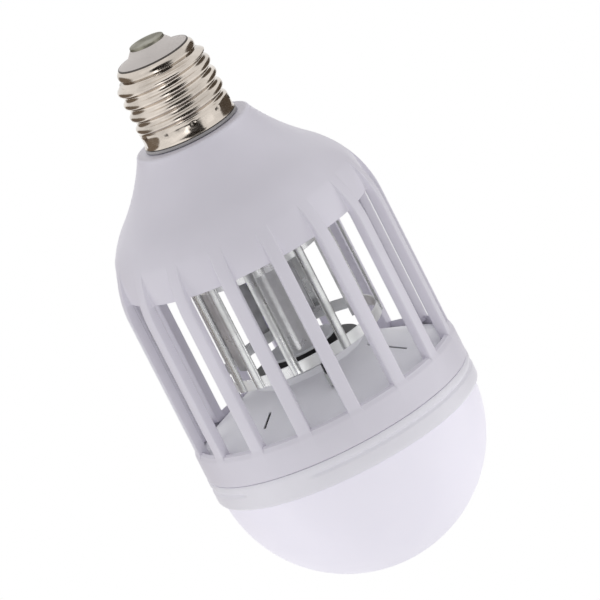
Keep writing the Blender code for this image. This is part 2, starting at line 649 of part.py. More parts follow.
def make_lamp_post(white, grey, black, board_material, violet):
    post_bottom = FLANGE_TOP + SEAT_GAP
    profile = [(POST_BORE_RADIUS, GRID_TOP), (POST_RADIUS, GRID_TOP)]
    profile += [(POST_RADIUS, post_bottom), (POST_BORE_RADIUS, post_bottom)]
    turned("lamp_post", profile, white)
    for name, radius, top, bottom, material in (
        ("post_flange", FLANGE_RADIUS, FLANGE_TOP, FLANGE_BOTTOM, grey),
        ("base_disc", DISC_RADIUS, DISC_TOP, DISC_BOTTOM, black),
    ):
        section = [(CABLE_HOLE, top), (radius, top), (radius, bottom), (CABLE_HOLE, bottom)]
        turned(name, section, material, DISC_STEPS)
    strip_middle = POST_RADIUS + SEAT_GAP + UV_STRIP_THICKNESS / 2
    led_middle = strip_middle + UV_STRIP_THICKNESS / 2 + SEAT_GAP + UV_LED_SIZE[1] / 2
    for index in range(UV_STRIP_COUNT):
        turn = 2 * pi * index / UV_STRIP_COUNT
        size = (UV_STRIP_WIDTH, UV_STRIP_THICKNESS, UV_STRIP_LENGTH)
        middle = UV_STRIP_TOP - UV_STRIP_LENGTH / 2
        box(f"uv_strip_{index + 1}", size, (0.0, -strip_middle, middle), board_material, turn=turn)
        for level in range(UV_LEDS_PER_STRIP):
            drop = UV_STRIP_LENGTH * (level + 0.5) / UV_LEDS_PER_STRIP
            spot = (0.0, -led_middle, UV_STRIP_TOP - drop)
            number = index * UV_LEDS_PER_STRIP + level + 1
            box(f"uv_led_{number}", UV_LED_SIZE, spot, violet, turn=turn)


def make_deck(material):
    """Conical floor of the cage: a flat centre, a sloping wall and a rim that stands on the collar."""
    edge = deck_height(DECK_RADIUS)
    rim_bore = DECK_RADIUS - DECK_RIM_THICKNESS
    profile = [
        (CABLE_HOLE, DECK_TOP),
        (DISC_RADIUS, DECK_TOP),
        (DECK_RADIUS, edge),
        (DECK_RADIUS, DECK_RIM_BOTTOM),
        (rim_bore, DECK_RIM_BOTTOM),
        (rim_bore, deck_height(rim_bore) - DECK_THICKNESS),
        (DISC_RADIUS, DECK_TOP - DECK_THICKNESS),
        (CABLE_HOLE, DECK_TOP - DECK_THICKNESS),
    ]
    deck = turned("deck_cone", profile, material, WIDE_STEPS)
    shape = bmesh.new()
    length = DECK_SLIT_OUTER - DECK_SLIT_INNER
    middle = (DECK_SLIT_OUTER + DECK_SLIT_INNER) / 2
    for index in range(DECK_SLIT_COUNT):
        turn = at_bearing(DECK_SLIT_BEARING + 2 * pi * index / DECK_SLIT_COUNT)
        spot = Matrix.Translation((0.0, -middle, deck_height(middle)))
        scale = Matrix.Diagonal((DECK_SLIT_WIDTH, length, 6 * DECK_THICKNESS, 1.0))
        bmesh.ops.create_cube(shape, size=1.0, matrix=turn @ spot @ scale)
    cut_away(deck, place("slit_cutter", mesh_from(shape, "slit_cutter"), material))
    return deck


def make_collar(material):
    """Ring under the cage: it plugs into the band, carries the heat sink and grips the dome's rim."""
    spigot_radius = BAND_BORE - SEAT_GAP
    spigot_top = DECK_RIM_BOTTOM - SEAT_GAP
    seam = HOUSING_BOTTOM - SEAT_GAP
    dome_seat = DOME_RADIUS + SEAT_GAP
    upper = [(spigot_radius, spigot_top), (spigot_radius, seam), (COLLAR_RADIUS, seam)]
    lower = [
        (COLLAR_RADIUS, COLLAR_BOTTOM),
        (dome_seat, COLLAR_BOTTOM),
        (dome_seat, COLLAR_LEDGE_BOTTOM),
        (COLLAR_LEDGE_RADIUS, COLLAR_LEDGE_BOTTOM),
        (COLLAR_LEDGE_RADIUS, COLLAR_LEDGE_TOP),
        (LEDGE_BORE, COLLAR_LEDGE_TOP),
        (LEDGE_BORE, spigot_top),
    ]
    groove = [
        (COLLAR_RADIUS, GROOVE_Z + GROOVE_WIDTH / 2),
        (COLLAR_RADIUS - GROOVE_DEPTH, GROOVE_Z + GROOVE_WIDTH / 2),
        (COLLAR_RADIUS - GROOVE_DEPTH, GROOVE_Z - GROOVE_WIDTH / 2),
        (COLLAR_RADIUS, GROOVE_Z - GROOVE_WIDTH / 2),
    ]
    plain = [*upper, groove[0], groove[-1], *lower]
    grooved = [*upper, *groove, *lower]
    groove_angle = 2 * pi / GROOVE_COUNT - GROOVE_GAP
    shape = bmesh.new()
    for index in range(GROOVE_COUNT):
        gap_start = GROOVE_GAP_BEARING - GROOVE_GAP / 2 + 2 * pi * index / GROOVE_COUNT
        gap_end = gap_start + GROOVE_GAP
        spin_section(shape, plain, gap_start, GROOVE_GAP, GROOVE_GAP_STEPS)
        spin_section(shape, grooved, gap_end, groove_angle, GROOVE_STEPS)
        for bearing in (gap_start, gap_end):
            close_side(shape, groove, bearing)
    return place("lamp_collar", mesh_from(shape, "lamp_collar"), material)


def make_lower_lamp(aluminium, board_material, yellow, steel, cable_material):
    """Heat sink, lamp board with its white lamps, screws, and the cable that feeds them."""
    sink_top = HEAT_SINK_BOTTOM + HEAT_SINK_THICKNESS
    screw_hole = SCREW_RADIUS + SEAT_GAP
    for name, radius, top, bottom, material in (
        ("heat_sink", HEAT_SINK_RADIUS, sink_top, HEAT_SINK_BOTTOM, aluminium),
        ("led_board", LED_BOARD_RADIUS, LED_BOARD_TOP, LED_BOARD_BOTTOM, board_material),
    ):
        bore = CABLE_HOLE if name == "heat_sink" else 0.0
        section = [(bore, top), (radius, top), (radius, bottom), (bore, bottom)]
        plate = turned(name, section, material, DISC_STEPS, start=pi / DISC_STEPS)
        for side in (-1, 1):
            low = (side * SCREW_RING, 0.0, bottom - WALL)
            high = (side * SCREW_RING, 0.0, top + WALL)
            cut_away(plate, rod(f"{name}_hole_{side}", low, high, screw_hole, material))
    for side in (-1, 1):
        head_top = LED_BOARD_BOTTOM - SEAT_GAP
        profile = [
            (0.0, sink_top),
            (SCREW_RADIUS, sink_top),
            (SCREW_RADIUS, head_top),
            (SCREW_HEAD_RADIUS, head_top),
            (SCREW_HEAD_RADIUS * 0.7, head_top - SCREW_HEAD_HEIGHT),
            (0.0, head_top - SCREW_HEAD_HEIGHT),
        ]
        screw = turned("board_screw_left" if side < 0 else "board_screw_right", profile, steel, PIN_STEPS)
        screw.location.x = side * SCREW_RING
    size = (WHITE_LED_SIZE, WHITE_LED_SIZE, WHITE_LED_HEIGHT)
    lamp_z = LED_BOARD_BOTTOM - SEAT_GAP - WHITE_LED_HEIGHT / 2
    for index in range(WHITE_LED_COUNT):
        turn = 2 * pi * (index + 0.5) / WHITE_LED_COUNT
        box(f"white_led_{index + 1}", size, (0.0, -WHITE_LED_RING, lamp_z), yellow, turn=turn)
    cable_top = (0.0, 0.0, BOARD_BOTTOM - SEAT_GAP)
    cable_bottom = (0.0, 0.0, LED_BOARD_TOP + SEAT_GAP)
    rod("feed_cable", cable_bottom, cable_top, CABLE_RADIUS, cable_material)


def make_dome(material):
    """Frosted half sphere with a short straight rim that plugs into the collar."""
    outside = arc((0.0, DOME_CENTRE), DOME_RADIUS, 0.0, -pi / 2, 8)
    inside = arc((0.0, DOME_CENTRE), DOME_RADIUS - DOME_WALL, -pi / 2, 0.0, 5)
    rim = [(DOME_RADIUS - DOME_WALL, DOME_RIM_TOP), (DOME_RADIUS, DOME_RIM_TOP)]
    return turned("diffuser_dome", outside + inside + rim, material, WIDE_STEPS)


def main():
    clear_scene()
    white = finish("white_plastic", (0.66, 0.65, 0.69), 0.38)
    frosted = finish("frosted_diffuser", (0.80, 0.79, 0.85), 0.45)
    nickel = finish("nickel_plate", (0.72, 0.68, 0.62), 0.22, 1.0)
    solder = finish("contact_metal", (0.62, 0.62, 0.58), 0.4, 1.0)
    grey = finish("grey_insulator", (0.50, 0.48, 0.47), 0.5)
    black = finish("black_plastic", (0.02, 0.02, 0.025), 0.45)
    steel = finish("tinned_steel", (0.70, 0.70, 0.70), 0.3, 1.0)
    aluminium = finish("aluminium_sheet", (0.77, 0.78, 0.80), 0.35, 1.0)
    board = finish("circuit_board", (0.75, 0.76, 0.74), 0.5)
    copper = finish("transformer_tape", (0.45, 0.33, 0.08), 0.5)
    yellow = finish("lamp_phosphor", (0.80, 0.62, 0.12), 0.45)
    violet = finish("ultraviolet_lens", (0.45, 0.40, 0.75), 0.25)
    red = finish("red_insulation", (0.45, 0.03, 0.03), 0.45)
    cable = finish("white_insulation", (0.70, 0.70, 0.70), 0.5)
    make_contact(solder)
    make_insulator(grey)
    make_screw_shell(nickel)
    make_neck_ring(black)
    make_housing(white)
    make_grid_plate(white)
    make_driver(board, black, copper, yellow, nickel, red)
    make_electrodes(steel, black)
    make_lamp_post(white, grey, black, board, violet)
    make_deck(white)
    make_collar(white)
    make_lower_lamp(aluminium, board, yellow, steel, cable)
    make_dome(frosted)


main()
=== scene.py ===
"""Insect killer light bulb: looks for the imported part.

Metres. The cap is up, and the photograph shows the side at -Y.
"""

from math import asin, atan, atan2, cos, hypot, pi, radians, sin, sqrt

import bmesh
import bpy
from mathutils import Matrix, Vector, noise


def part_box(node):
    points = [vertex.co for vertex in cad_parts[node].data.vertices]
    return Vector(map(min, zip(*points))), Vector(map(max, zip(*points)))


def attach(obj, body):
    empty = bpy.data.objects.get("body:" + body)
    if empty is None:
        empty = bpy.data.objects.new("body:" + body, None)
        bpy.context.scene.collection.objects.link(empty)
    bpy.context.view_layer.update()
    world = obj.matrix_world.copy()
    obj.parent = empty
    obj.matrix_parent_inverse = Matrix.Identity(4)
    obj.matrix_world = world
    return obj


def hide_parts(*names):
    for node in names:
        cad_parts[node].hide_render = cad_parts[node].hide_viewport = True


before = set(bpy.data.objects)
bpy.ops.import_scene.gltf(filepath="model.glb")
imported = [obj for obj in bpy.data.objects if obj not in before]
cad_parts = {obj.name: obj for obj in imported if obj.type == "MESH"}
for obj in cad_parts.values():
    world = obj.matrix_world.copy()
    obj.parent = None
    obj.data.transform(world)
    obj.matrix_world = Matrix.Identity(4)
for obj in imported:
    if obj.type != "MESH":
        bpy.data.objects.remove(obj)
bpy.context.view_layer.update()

MM = 0.001
MERGE = 0.002 * MM

# Camera and studio: the photograph shows the bulb from the cap's end, with its top leaning left
CAMERA_ELEVATION = radians(13.85)
CAMERA_ROLL = radians(27.0)
CAMERA_DISTANCE = 3.0
CAMERA_FIELD = 0.15819  # the width that the picture shows at the aim
CAMERA_AIM = Vector((5.14 * MM, 0.0, -81.28 * MM))
SENSOR = 36.0
AMBIENT = 0.585
FLOOR_Z = -2.4
FLOOR_GLOW = 0.6
CARD_TINT = (1.0, 0.8, 0.62)
LAMPS_AIM = Vector((0, 0, -80 * MM))
CARDS_AIM = Vector((0, 0, -15 * MM))

# Cap
CONTACT_RADIUS = 4.9 * MM
CONTACT_THICKNESS = 0.8 * MM
INSULATOR_TIP_RADIUS = 5.2 * MM
INSULATOR_CONE = (6.6 * MM, -2.65 * MM)
INSULATOR_KNEE = (7.2 * MM, -3.15 * MM)
INSULATOR_SKIRT = 0.9 * MM
SHELL_SHEET = 0.3 * MM
SHELL_LIP = (10.05 * MM, -4.25 * MM)
SHELL_BEAD = (9.4 * MM, -5.95 * MM)
SHELL_BEAD_RADIUS = 1.75 * MM
SHELL_GROOVE = (10.65 * MM, -7.55 * MM)
# Top and depth of the dark ring painted in as the shadow line at the shell's lip; the insulator
# ends at the same top
LIP_SHADE_TOP = -3.9 * MM
LIP_SHADE_DEPTH = 0.8 * MM
THREAD_TOP = -7.75 * MM
THREAD_BOTTOM = -22.6 * MM
THREAD_PITCH = 3.63 * MM
THREAD_CREST_RADIUS = 13.05 * MM
THREAD_DEPTH = 1.0 * MM
THREAD_CREST_Z = -8.85 * MM
THREAD_RUN_IN = 1.05 * MM
THREAD_RUN_OUT = 1.5 * MM
THREAD_TOP_RADIUS = 11.6 * MM
THREAD_ROWS = 140
SHELL_COLUMNS = 160
SKIRT_BOTTOM = -25.9 * MM
SKIRT_RADIUS = THREAD_CREST_RADIUS - 0.15 * MM
SKIRT_FLARE = 0.22 * MM
SKIRT_ROWS = 22
DIMPLE_COUNT = 10
DIMPLE_BEARING = radians(6.0)
DIMPLE_Z = -22.75 * MM
DIMPLE_RADIUS = 0.8 * MM
DIMPLE_DEPTH = 0.5 * MM
DIMPLE_RIM = 0.10 * MM
SKIRT_DENT = 0.21 * MM
SKIRT_DENT_SPACING = 3.1 * MM
SKIRT_DENT_SHIFT = Vector((0.0, 0.0, 3.4))  # picks where the hollows fall
SKIRT_FLAT = 0.14 * MM
NECK_RING_BORE = 11.6 * MM

# Housing
HOUSING_TOP = -27.2 * MM
HOUSING_TOP_ROUND = 0.9 * MM
HOUSING_RIM_RADIUS = 16.5 * MM
NECK_ARC_RADIUS = 57.0 * MM
SHOULDER_ARC_RADIUS = 30.1 * MM
SHOULDER_END = -65.0 * MM
CAGE_RADIUS = 37.8 * MM
WALL = 1.6 * MM
RIB_COUNT = 16
RIB_WIDTH = 3.8 * MM
RIB_DEPTH = 2.8 * MM
RIB_BEARING = radians(7.4)
PITCH_ANGLE = 2 * pi / RIB_COUNT
PANEL_CREASE = -50.5 * MM
PANEL_RECESS = 1.9 * MM
SLOT_TOP = -60.2 * MM
SLOT_BOTTOM = -105.5 * MM
SLOT_SILL_RISE = 0.95 * MM
RIB_BOTTOM = -105.8 * MM
RIB_EDGE_ROUND = 0.45 * MM
PANEL_FOOT_ROUND = 0.6 * MM
SLOT_LIP_ROUND = 0.4 * MM
SPIGOT_RADIUS = 11.25 * MM
SPIGOT_BORE = 9.75 * MM

# Lower end
GROOVE_Z = -116.15 * MM
GROOVE_HALF_WIDTH = 0.9 * MM
GROOVE_DEPTH = 0.55 * MM
GROOVE_GAP = radians(33.4)
GROOVE_GAP_BEARING = radians(-36.9)
GROOVE_RUN_OUT = 0.03  # radians
COLLAR_FOOT_ROUND = 1.5 * MM
COLLAR_TOP = -113.72 * MM
COLLAR_WALL = 3.0 * MM
DOME_WALL = 1.8 * MM
DECK_THICKNESS = 1.6 * MM
DECK_EDGE_TOP = -106.9 * MM
DECK_SEAT_RADIUS = 7.0 * MM
FOOT_BOSS_TOP = -96.3 * MM
FOOT_BOSS_RADIUS = 1.3 * MM
DECK_SOFT_EDGE = 3.0 * MM
SLIT_WIDTH = 0.95 * MM
SLIT_CUT = 8 * MM
# Black blocks under the slits, painted in as the shade inside them
SLIT_SHADE_SPREAD = 1.02
SLIT_SHADE_THICKNESS = 0.8 * MM
SLIT_SHADE_DEPTH = 0.75 * MM
SLITS = (  # bearing in degrees, then the radius at each end
    (-42.0, 22.4 * MM, 27.9 * MM),
    (62.0, 17.0 * MM, 28.2 * MM),
    (138.0, 22.4 * MM, 27.9 * MM),
    (240.0, 20.0 * MM, 28.0 * MM),
)

# Electrodes and lamp post
GRID_SHEET = 0.45 * MM
INNER_GRID_RADIUS = 18.8 * MM
INNER_HOOP_HEIGHT = 6.0 * MM
INNER_STRIP_BEARINGS = (0, 70, 165, 207, 254, 302)  # degrees, as bent, not quite even
INNER_STRIP_WIDTH = 6.2 * MM
OUTER_GRID_RADIUS = 23.2 * MM
OUTER_HOOP = (-90.2 * MM, -93.4 * MM)
OUTER_STRIP_WIDTH = 2.3 * MM
OUTER_STRIP_BEARINGS = (-54, -38, -10, 27, 57, 88, 121, 158, 187, 221, 258)
POST_BORE = 2.4 * MM
POST_FOOT_STEP = 0.5 * MM
FLANGE_HOLE = 4.3 * MM
FLANGE_THICKNESS = 0.8 * MM
FLANGE_LIFT = 0.8 * MM


def arc(centre, radius, start, end, steps):
    """Points (r, z) on an arc, with angles measured from +r towards +z."""
    turns = [start + (end - start) * step / steps for step in range(steps + 1)]
    return [(centre[0] + radius * cos(turn), centre[1] + radius * sin(turn)) for turn in turns]


def direction(bearing):
    """Unit vector away from the axis. Bearing 0 is -Y, and it grows towards +X."""
    return Vector((sin(bearing), -cos(bearing), 0.0))


def blend_in(value, start, end):
    """0 before start, 1 after end, and a smooth rise between."""
    share = min(1.0, max(0.0, (value - start) / (end - start)))
    return share * share * (3 - 2 * share)


# Modelling helpers
def begin(name):
    """Takes the primitive just added into edit mode, with everything on it selected."""
    piece = bpy.context.object
    piece.name = name
    piece.data.name = name
    bpy.ops.object.mode_set(mode="EDIT")
    bpy.ops.mesh.select_all(action="SELECT")
    return piece


def begin_from_point(name, point):
    """Starts a piece as one point, ready to be pulled into an outline."""
    bpy.ops.object.select_all(action="DESELECT")
    bpy.ops.mesh.primitive_plane_add(size=MM, location=(0, 0, 0))
    piece = begin(name)
    bpy.ops.mesh.merge(type="CENTER")
    bpy.ops.transform.translate(value=point)
    return piece


def pull(step):
    """Extrudes what is selected by a step."""
    bpy.ops.mesh.extrude_region_move(TRANSFORM_OT_translate={"value": step})


def clean_up(piece):
    """Merges doubled points, turns the faces outwards and leaves edit mode."""
    bpy.ops.mesh.select_all(action="SELECT")
    bpy.ops.mesh.remove_doubles(threshold=MERGE)
    bpy.ops.mesh.normals_make_consistent(inside=False)
    bpy.ops.object.mode_set(mode="OBJECT")
    return piece


def from_mesh_code(name, shape):
    """Makes an object of a finished bmesh and takes it into edit mode."""
    mesh = bpy.data.meshes.new(name)
    shape.to_mesh(mesh)
    shape.free()
    piece = bpy.data.objects.new(name, mesh)
    bpy.context.scene.collection.objects.link(piece)
    bpy.ops.object.select_all(action="DESELECT")
    piece.select_set(True)
    bpy.context.view_layer.objects.active = piece
    bpy.ops.object.mode_set(mode="EDIT")
    bpy.ops.mesh.select_all(action="SELECT")
    return piece


def turned(name, outline, steps=96, closed=True):
    """Draws an outline of (radius, height) points and spins it about the bulb's axis."""
    piece = begin_from_point(name, (outline[0][0], 0, outline[0][1]))
    points = outline + outline[:1] if closed else outline
    for (r, z), (next_r, next_z) in zip(points, points[1:]):
        pull((next_r - r, 0, next_z - z))
    bpy.ops.mesh.select_all(action="SELECT")
    bpy.ops.mesh.spin(steps=steps, angle=2 * pi, center=(0, 0, 0), axis=(0, 0, 1))
    return clean_up(piece)


def apply_modifier(piece, kind, **settings):
    bpy.context.view_layer.objects.active = piece
    modifier = piece.modifiers.new(kind.lower(), kind)
    for key, value in settings.items():
        setattr(modifier, key, value)
    bpy.ops.object.modifier_apply(modifier=modifier.name)


def soften(piece, width, segments=2, angle=35):
    apply_modifier(
        piece,
        "BEVEL",
        width=width,
        segments=segments,
        limit_method="ANGLE",
        angle_limit=radians(angle),
        use_clamp_overlap=True,
    )


def dress(piece, material, slot, *nodes, smooth=38):
    """Gives a finished piece its shading, finish, body and the CAD nodes that it stands for."""
    bpy.ops.object.select_all(action="DESELECT")
    piece.select_set(True)
    bpy.context.view_layer.objects.active = piece
    bpy.ops.object.shade_smooth_by_angle(angle=radians(smooth))
    piece.data.materials.clear()
    piece.data.materials.append(material)
    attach(piece, "root")
    if nodes:
        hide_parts(*nodes)


# Material helpers
def new_group(name, inputs, outputs):
    """An empty group with its sockets: inputs as {name: value} and outputs as names."""
    group = bpy.data.node_groups.new(name, "ShaderNodeTree")
    kind = "NodeSocketFloat"
    for socket, value in inputs.items():
        group.interface.new_socket(socket, in_out="INPUT", socket_type=kind).default_value = value
    for socket in outputs:
        group.interface.new_socket(socket, in_out="OUTPUT", socket_type=kind)
    return group, group.nodes.new("NodeGroupInput"), group.nodes.new("NodeGroupOutput")


def add(tree, kind, **values):
    """Adds a node and sets its properties, and its input sockets by name."""
    node = tree.nodes.new(kind)
    for key, value in values.items():
        if key in node.inputs:
            node.inputs[key].default_value = value
        else:
            setattr(node, key, value)
    return node


def math_node(tree, operation, first, second=0.0, clamp=False):
    node = tree.nodes.new("ShaderNodeMath")
    node.operation = operation
    node.use_clamp = clamp
    for socket, value in zip(node.inputs, (first, second)):
        if isinstance(value, (int, float)):
            socket.default_value = value
        else:
            tree.links.new(value, socket)
    return node.outputs[0]


def grain_group():
    """Fine pitted grain of a moulding, and a slow mottle over it."""
    scales = {"Scale": 3000.0, "Mottle Scale": 60.0}
    group, inward, outward = new_group("moulded grain", scales, ("Height", "Mottle"))
    place = add(group, "ShaderNodeTexCoord")
    fine = add(group, "ShaderNodeTexNoise", Detail=3.0, Roughness=0.6)
    pits = add(group, "ShaderNodeTexVoronoi", feature="F1")
    slow = add(group, "ShaderNodeTexNoise", Detail=2.0, Roughness=0.5)
    for node, scale in ((fine, "Scale"), (pits, "Scale"), (slow, "Mottle Scale")):
        group.links.new(place.outputs["Object"], node.inputs["Vector"])
        group.links.new(inward.outputs[scale], node.inputs["Scale"])
    shallow_pits = math_node(group, "MULTIPLY", pits.outputs["Distance"], 0.35)
    height = math_node(group, "ADD", fine.outputs["Fac"], shallow_pits)
    group.links.new(height, outward.inputs["Height"])
    group.links.new(slow.outputs["Fac"], outward.inputs["Mottle"])
    return group


def streak_group():
    """Drawn lines that run round the bulb's axis, soft dents and handling marks."""
    scales = {"Line Scale": 5200.0, "Dent Scale": 260.0, "Smudge Scale": 130.0}
    group, inward, outward = new_group("drawn sheet", scales, ("Lines", "Dents", "Smudge"))
    place = add(group, "ShaderNodeTexCoord")
    stretch = add(group, "ShaderNodeMapping", Scale=(0.03, 0.03, 1.0))
    group.links.new(place.outputs["Object"], stretch.inputs["Vector"])
    lines = add(group, "ShaderNodeTexNoise", Detail=2.0, Roughness=0.7)
    group.links.new(stretch.outputs["Vector"], lines.inputs["Vector"])
    group.links.new(inward.outputs["Line Scale"], lines.inputs["Scale"])
    group.links.new(lines.outputs["Fac"], outward.inputs["Lines"])
    for socket, scale, detail in (("Dents", "Dent Scale", 1.0), ("Smudge", "Smudge Scale", 4.0)):
        patches = add(group, "ShaderNodeTexNoise", Detail=detail, Roughness=0.55)
        group.links.new(place.outputs["Object"], patches.inputs["Vector"])
        group.links.new(inward.outputs[scale], patches.inputs["Scale"])
        group.links.new(patches.outputs["Fac"], outward.inputs[socket])
    return group


def ramp(tree, factor, *stops):
    """A colour ramp with (position, colour) stops."""
    node = tree.nodes.new("ShaderNodeValToRGB")
    elements = node.color_ramp.elements
    while len(elements) < len(stops):
        elements.new(0.5)
    for element, (position, colour) in zip(elements, stops):
        element.position = position
        element.color = (*colour, 1.0)
    tree.links.new(factor, node.inputs["Fac"])
    return node.outputs["Color"]


def map_range(tree, factor, start, end, low, high):
    """Maps a value between start and end onto low to high."""
    node = add(tree, "ShaderNodeMapRange")
    for socket, value in zip(list(node.inputs)[1:5], (start, end, low, high)):
        socket.default_value = value
    tree.links.new(factor, node.inputs[0])
    return node.outputs[0]


def tinted(colour, factor):
    return tuple(min(1.0, part * factor) for part in colour)


def start_material(name, metallic=0.0, **settings):
    material = bpy.data.materials.new(name)
    material.use_nodes = True
    shader = material.node_tree.nodes["Principled BSDF"]
    shader.inputs["Metallic"].default_value = metallic
    for key, value in settings.items():
        shader.inputs[key].default_value = value
    return material, material.node_tree, shader


def bump(tree, shader, height, strength, depth):
    node = add(tree, "ShaderNodeBump", Strength=strength, Distance=depth)
    tree.links.new(height, node.inputs["Height"])
    tree.links.new(node.outputs["Normal"], shader.inputs["Normal"])


def moulding(name, colour, roughness, grain=3000.0, depth=0.02 * MM, vary=0.03, **settings):
    """A moulded plastic or ceramic: mottled colour, uneven gloss and a fine grain."""
    material, tree, shader = start_material(name, **settings)
    texture = add(tree, "ShaderNodeGroup", node_tree=GRAIN)
    texture.inputs["Scale"].default_value = grain
    low, high = tinted(colour, 1 - vary), tinted(colour, 1 + vary)
    colour_out = ramp(tree, texture.outputs["Mottle"], (0.35, low), (0.65, high))
    tree.links.new(colour_out, shader.inputs["Base Color"])
    dull, glossy = roughness + 0.04, roughness - 0.04
    gloss = map_range(tree, texture.outputs["Mottle"], *NOISE_SPAN, dull, glossy)
    tree.links.new(gloss, shader.inputs["Roughness"])
    bump(tree, shader, texture.outputs["Height"], 0.35, depth)
    return material


def sheet_metal(
    name, colour, roughness, dent=0.02 * MM, vary=0.08, dent_scale=260.0, metallic=1.0, mark=None
):
    """Bare or plated sheet: drawn lines, soft dents that bend its reflections, and handling marks.

    mark names an attribute of the piece that is 1 at the bottoms of the punched pits, where shade
    is painted in.
    """
    material, tree, shader = start_material(name, metallic=metallic)
    texture = add(tree, "ShaderNodeGroup", node_tree=STREAKS)
    texture.inputs["Dent Scale"].default_value = dent_scale
    low, high = tinted(colour, 1 - vary), tinted(colour, 1 + vary)
    face = ramp(tree, texture.outputs["Smudge"], (0.35, low), (0.6, high))
    if mark:
        # Painted shade: the marked bottoms of the pits take a dark colour.
        spot = add(tree, "ShaderNodeAttribute", attribute_name=mark)
        pit_shade_mix = add(tree, "ShaderNodeMix", data_type="RGBA")
        tree.links.new(spot.outputs["Fac"], pit_shade_mix.inputs["Factor"])
        tree.links.new(face, pit_shade_mix.inputs[6])  # the colour sockets A and B, and the colour result
        pit_shade_mix.inputs[7].default_value = (*PIT_SHADE, 1.0)
        face = pit_shade_mix.outputs[2]
    tree.links.new(face, shader.inputs["Base Color"])
    dull, glossy = roughness * 1.4, roughness * 0.8
    gloss = map_range(tree, texture.outputs["Smudge"], *NOISE_SPAN, dull, glossy)
    tree.links.new(gloss, shader.inputs["Roughness"])
    fine = math_node(tree, "MULTIPLY", texture.outputs["Lines"], 0.015)
    bump(tree, shader, math_node(tree, "ADD", texture.outputs["Dents"], fine), 1.0, dent)
    return material


NOISE_SPAN = (0.3, 0.7)  # where most of a noise's values lie
# Painted shade for the bottoms of the punched pits in the cap.
PIT_SHADE = (0.05, 0.04, 0.035)
# Painted glow: a faint emission that lightens the frosted dome.
PAINTED_GLOW = {"Emission Color": (0.96, 0.93, 1.0, 1.0), "Emission Strength": 0.09}
GRAIN = grain_group()
STREAKS = streak_group()
WHITE = {"grain": 2600, "depth": 0.015 * MM}
MATERIALS = {
    "housing": moulding("housing plastic", (0.76, 0.735, 0.815), 0.42, vary=0.015, **WHITE),
    # Painted light: the deck's white plastic is lighter than the housing's, against the shade
    # inside the cage.
    "deck": moulding("deck plastic painted lighter", (0.94, 0.94, 0.985), 0.42, vary=0.02, **WHITE),
    "collar": moulding("collar plastic", (0.85, 0.835, 0.90), 0.42, vary=0.015, **WHITE),
    "dome": moulding(
        "frosted diffuser",
        (0.89, 0.865, 0.965),
        0.5,
        grain=4200,
        depth=0.01 * MM,
        vary=0.012,
        **PAINTED_GLOW,
    ),
    "insulator": moulding("grey insulator", (0.72, 0.67, 0.645), 0.6, grain=3600, vary=0.06),
    # Painted shade: a dark ring stands for the shadow line between the insulator and the lip.
    "lip_shade": moulding("painted lip shadow", (0.06, 0.05, 0.045), 0.5, vary=0.3),
    # Painted shade: the neck ring's dark grey stands for the shade in the gap under the shell's
    # rim.
    "neck": moulding("dark neck ring", (0.36, 0.35, 0.36), 0.45, vary=0.3),
    "black": moulding("black plastic and painted shade", (0.01, 0.01, 0.011), 0.45, grain=2600, vary=0.3),
    "post": moulding("post plastic", (0.78, 0.78, 0.80), 0.4, grain=2600),
    "flange": moulding("grey flange", (0.80, 0.81, 0.83), 0.5, grain=2600, vary=0.04),
    "boss": moulding("grey boss", (0.44, 0.45, 0.45), 0.5, grain=2600, vary=0.06),
    "board": moulding("solder mask", (0.62, 0.64, 0.61), 0.35, grain=1800, vary=0.04),
    "tape": moulding("winding tape", (0.45, 0.31, 0.07), 0.45, grain=1500, vary=0.15),
    "phosphor": moulding("yellow phosphor", (0.80, 0.62, 0.12), 0.5, grain=5000, vary=0.08),
    "violet": moulding(
        "violet lens", (0.42, 0.36, 0.72), 0.2, grain=2500, depth=0.005 * MM, vary=0.08
    ),
    "red": moulding("red lacquer", (0.45, 0.03, 0.03), 0.3, grain=2500, vary=0.12),
    "cable": moulding("cable sheath", (0.70, 0.70, 0.70), 0.45, grain=2500),
    "nickel": sheet_metal(
        "nickel plate", (0.62, 0.56, 0.50), 0.17, dent=0.012 * MM, vary=0.12, mark="punch_mark"
    ),
    "contact": sheet_metal(
        "contact metal", (0.27, 0.26, 0.215), 0.5, dent=0.03 * MM, dent_scale=700, vary=0.2
    ),
    # Painted light and shade: one tinned steel in three copies, lighter for the hoops and darker
    # for the strips, for how light falls inside the cage.
    "steel": sheet_metal(
        "tinned steel", (0.93, 0.945, 0.93), 0.28, dent=0.016 * MM, vary=0.07, metallic=0.48
    ),
    "strip_steel": sheet_metal(
        "outer strip steel", (0.70, 0.71, 0.70), 0.25, dent=0.022 * MM, vary=0.12, metallic=0.8
    ),
    "darkened_steel": sheet_metal(
        "tinned steel painted darker", (0.58, 0.58, 0.59), 0.32, dent=0.024 * MM, vary=0.14, metallic=0.6
    ),
    "wire": sheet_metal("tinned wire", (0.70, 0.68, 0.64), 0.3, vary=0.1),
    "screw": sheet_metal("screw steel", (0.60, 0.60, 0.60), 0.3, vary=0.1),
    "aluminium": sheet_metal("aluminium sheet", (0.77, 0.78, 0.80), 0.35, vary=0.05),
}


def numbered(name, count):
    return [f"{name}_{index}" for index in range(1, count + 1)]


FINISHES = {  # of the nodes that stay as they are
    "housing": ["grid_plate"],
    "black": ["mains_capacitor", "bridge_rectifier", *numbered("electrode_foot", 3)],
    "phosphor": ["film_capacitor", *numbered("white_led", 8)],
    "board": ["driver_board", "led_board", *numbered("uv_strip", 3)],
    "violet": numbered("uv_led", 6),
    "tape": ["step_up_transformer"],
    "red": ["fuse_resistor", "grid_lead_inner", "grid_lead_outer"],
    "wire": ["live_lead", "neutral_lead"],
    "screw": ["board_screw_left", "board_screw_right"],
    "cable": ["feed_cable"],
    "aluminium": ["heat_sink"],
}


